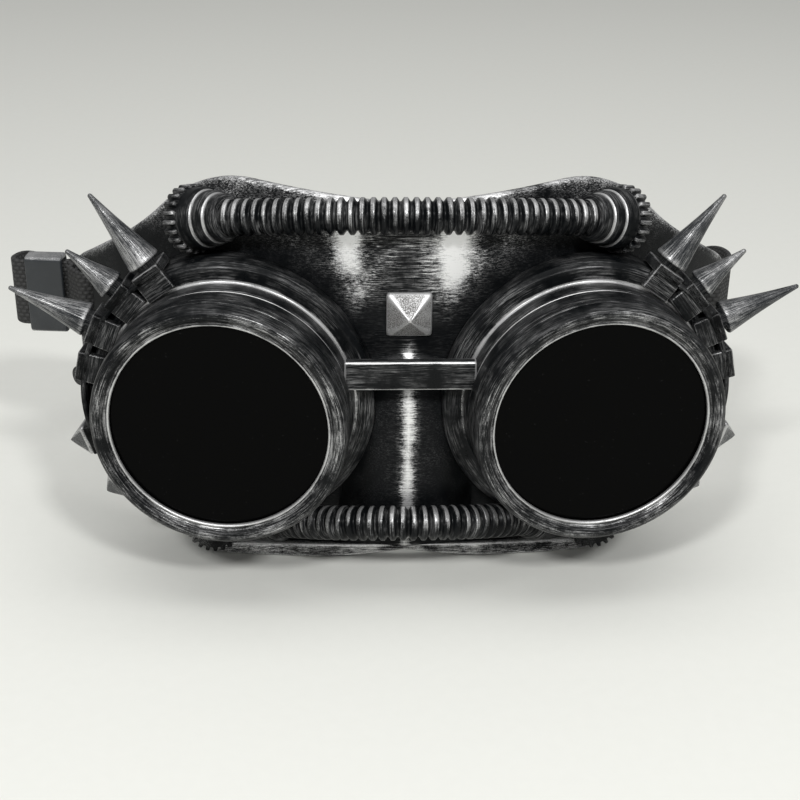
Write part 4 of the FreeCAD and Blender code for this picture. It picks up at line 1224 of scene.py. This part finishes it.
kink_angle = TEMPLE_ANGLE - TAIL_HEADING
kink_start = LOOP_END - KINK_RADIUS * math.tan(kink_angle / 2)
left_bends = [(kink_start, KINK_RADIUS * kink_angle, TAIL_HEADING),
              (LEFT_TURN, KINK_RADIUS * (SIDE_HEADING - TAIL_HEADING), SIDE_HEADING)]
right_bends = [(RIGHT_TURN, RIGHT_RADIUS * (SIDE_HEADING - TEMPLE_ANGLE), SIDE_HEADING)]
right_path = strap_side(right_bends, RIGHT_FOLD)
left_path = flip(strap_side(left_bends, LEFT_FOLD), SIDES["left"])
path = np.concatenate([right_path, left_path[::-1]])
path = path[np.concatenate([[True], np.linalg.norm(np.diff(path, axis=0), axis=1) > 1e-6])]
ahead = np.gradient(path, axis=0)
normal = np.stack([ahead[:, 1], -ahead[:, 0], 0 * ahead[:, 0]], -1)
normal /= np.linalg.norm(normal, axis=1, keepdims=True)
section = rounded_rectangle(STRAP_THICK * 0.48, STRAP_WIDTH / 2, 0.55 * MM)
upright = np.array([0.0, 0.0, 1.0])
band = path[:, None, :] + normal[:, None, :] * section[None, :, :1] + upright * section[None, :, 1:]
band = np.concatenate([path[:1, None, :] + 0 * band[:1], band, path[-1:, None, :] + 0 * band[:1]])
along = np.concatenate([[0.0], np.cumsum(np.linalg.norm(np.diff(path, axis=0), axis=1))])
along = np.concatenate([along[:1], along, along[-1:]])[:, None] + 0 * band[..., 0]
across = STRAP_WIDTH + section[None, :, 1] + 0 * band[..., 0]
make_piece("strap_band", [(band, 0.0, False, True, band)], "mask", WEBBING, ["strap"],
           weld=1e-7, extra={"along": along, "across": across})
print("strap length in metres:", round(float(along.max()), 4))

# %% [markdown]
# The slider is a smooth flat sleeve that grips the doubled strap. It could be a hollowed box; here a
# rounded rectangle is carried round the wall's own section, so its ends are half round.

# %% Strap slider
TAIL_ORIGIN = carry(np.array([0.0, LOOP_END, 0.0]), TEMPLE)
TAIL = placement(TAIL_ORIGIN, (math.cos(TAIL_HEADING), math.sin(TAIL_HEADING), 0.0),
                 (math.sin(TAIL_HEADING), -math.cos(TAIL_HEADING), 0.0))


def slider_grid(rest=7.0, length=10.0, wall=1.2):
    """Ring grid over (round the strap, round the wall's own section)."""
    half_a, half_b = 1.7 * MM, 9.3 * MM
    turn = np.linspace(0, math.pi, 9)
    depth = np.concatenate([0.5 - 0.5 * np.cos(turn), 0.5 + 0.5 * np.cos(turn)]) * wall * MM
    ends = np.sin(turn) * wall / 2
    reach = length / 2 - wall / 2
    place = np.concatenate([rest - reach - ends, rest + reach + ends]) * MM
    rings = [rounded_rectangle(half_a + out, half_b + out, 0.5 * MM + 0.5 * out) for out in depth]
    rows = [np.stack([ring[:, 0], np.full(len(ring), at), ring[:, 1]], -1)
            for ring, at in zip(rings, place)]
    points = np.stack(rows, 1)
    top = np.clip((np.abs(points[..., 2]) - 9.6 * MM) / (0.5 * MM), 0, 1)
    ends_edge = np.clip(depth / (wall * MM) * 2 - 1.3, 0, 1) * np.array([0.5] * 7 + [0.0] * 4 + [0.5] * 7)
    return carry(points, TAIL), np.maximum(top * 0.8, ends_edge[None, :]), True, True, points


sleeve = mirrored_grids([slider_grid()], SIDES["left"])
make_piece("slider_sleeve", sleeve, "slider", SLIDER, ["strap_slider"])
print("slider made")
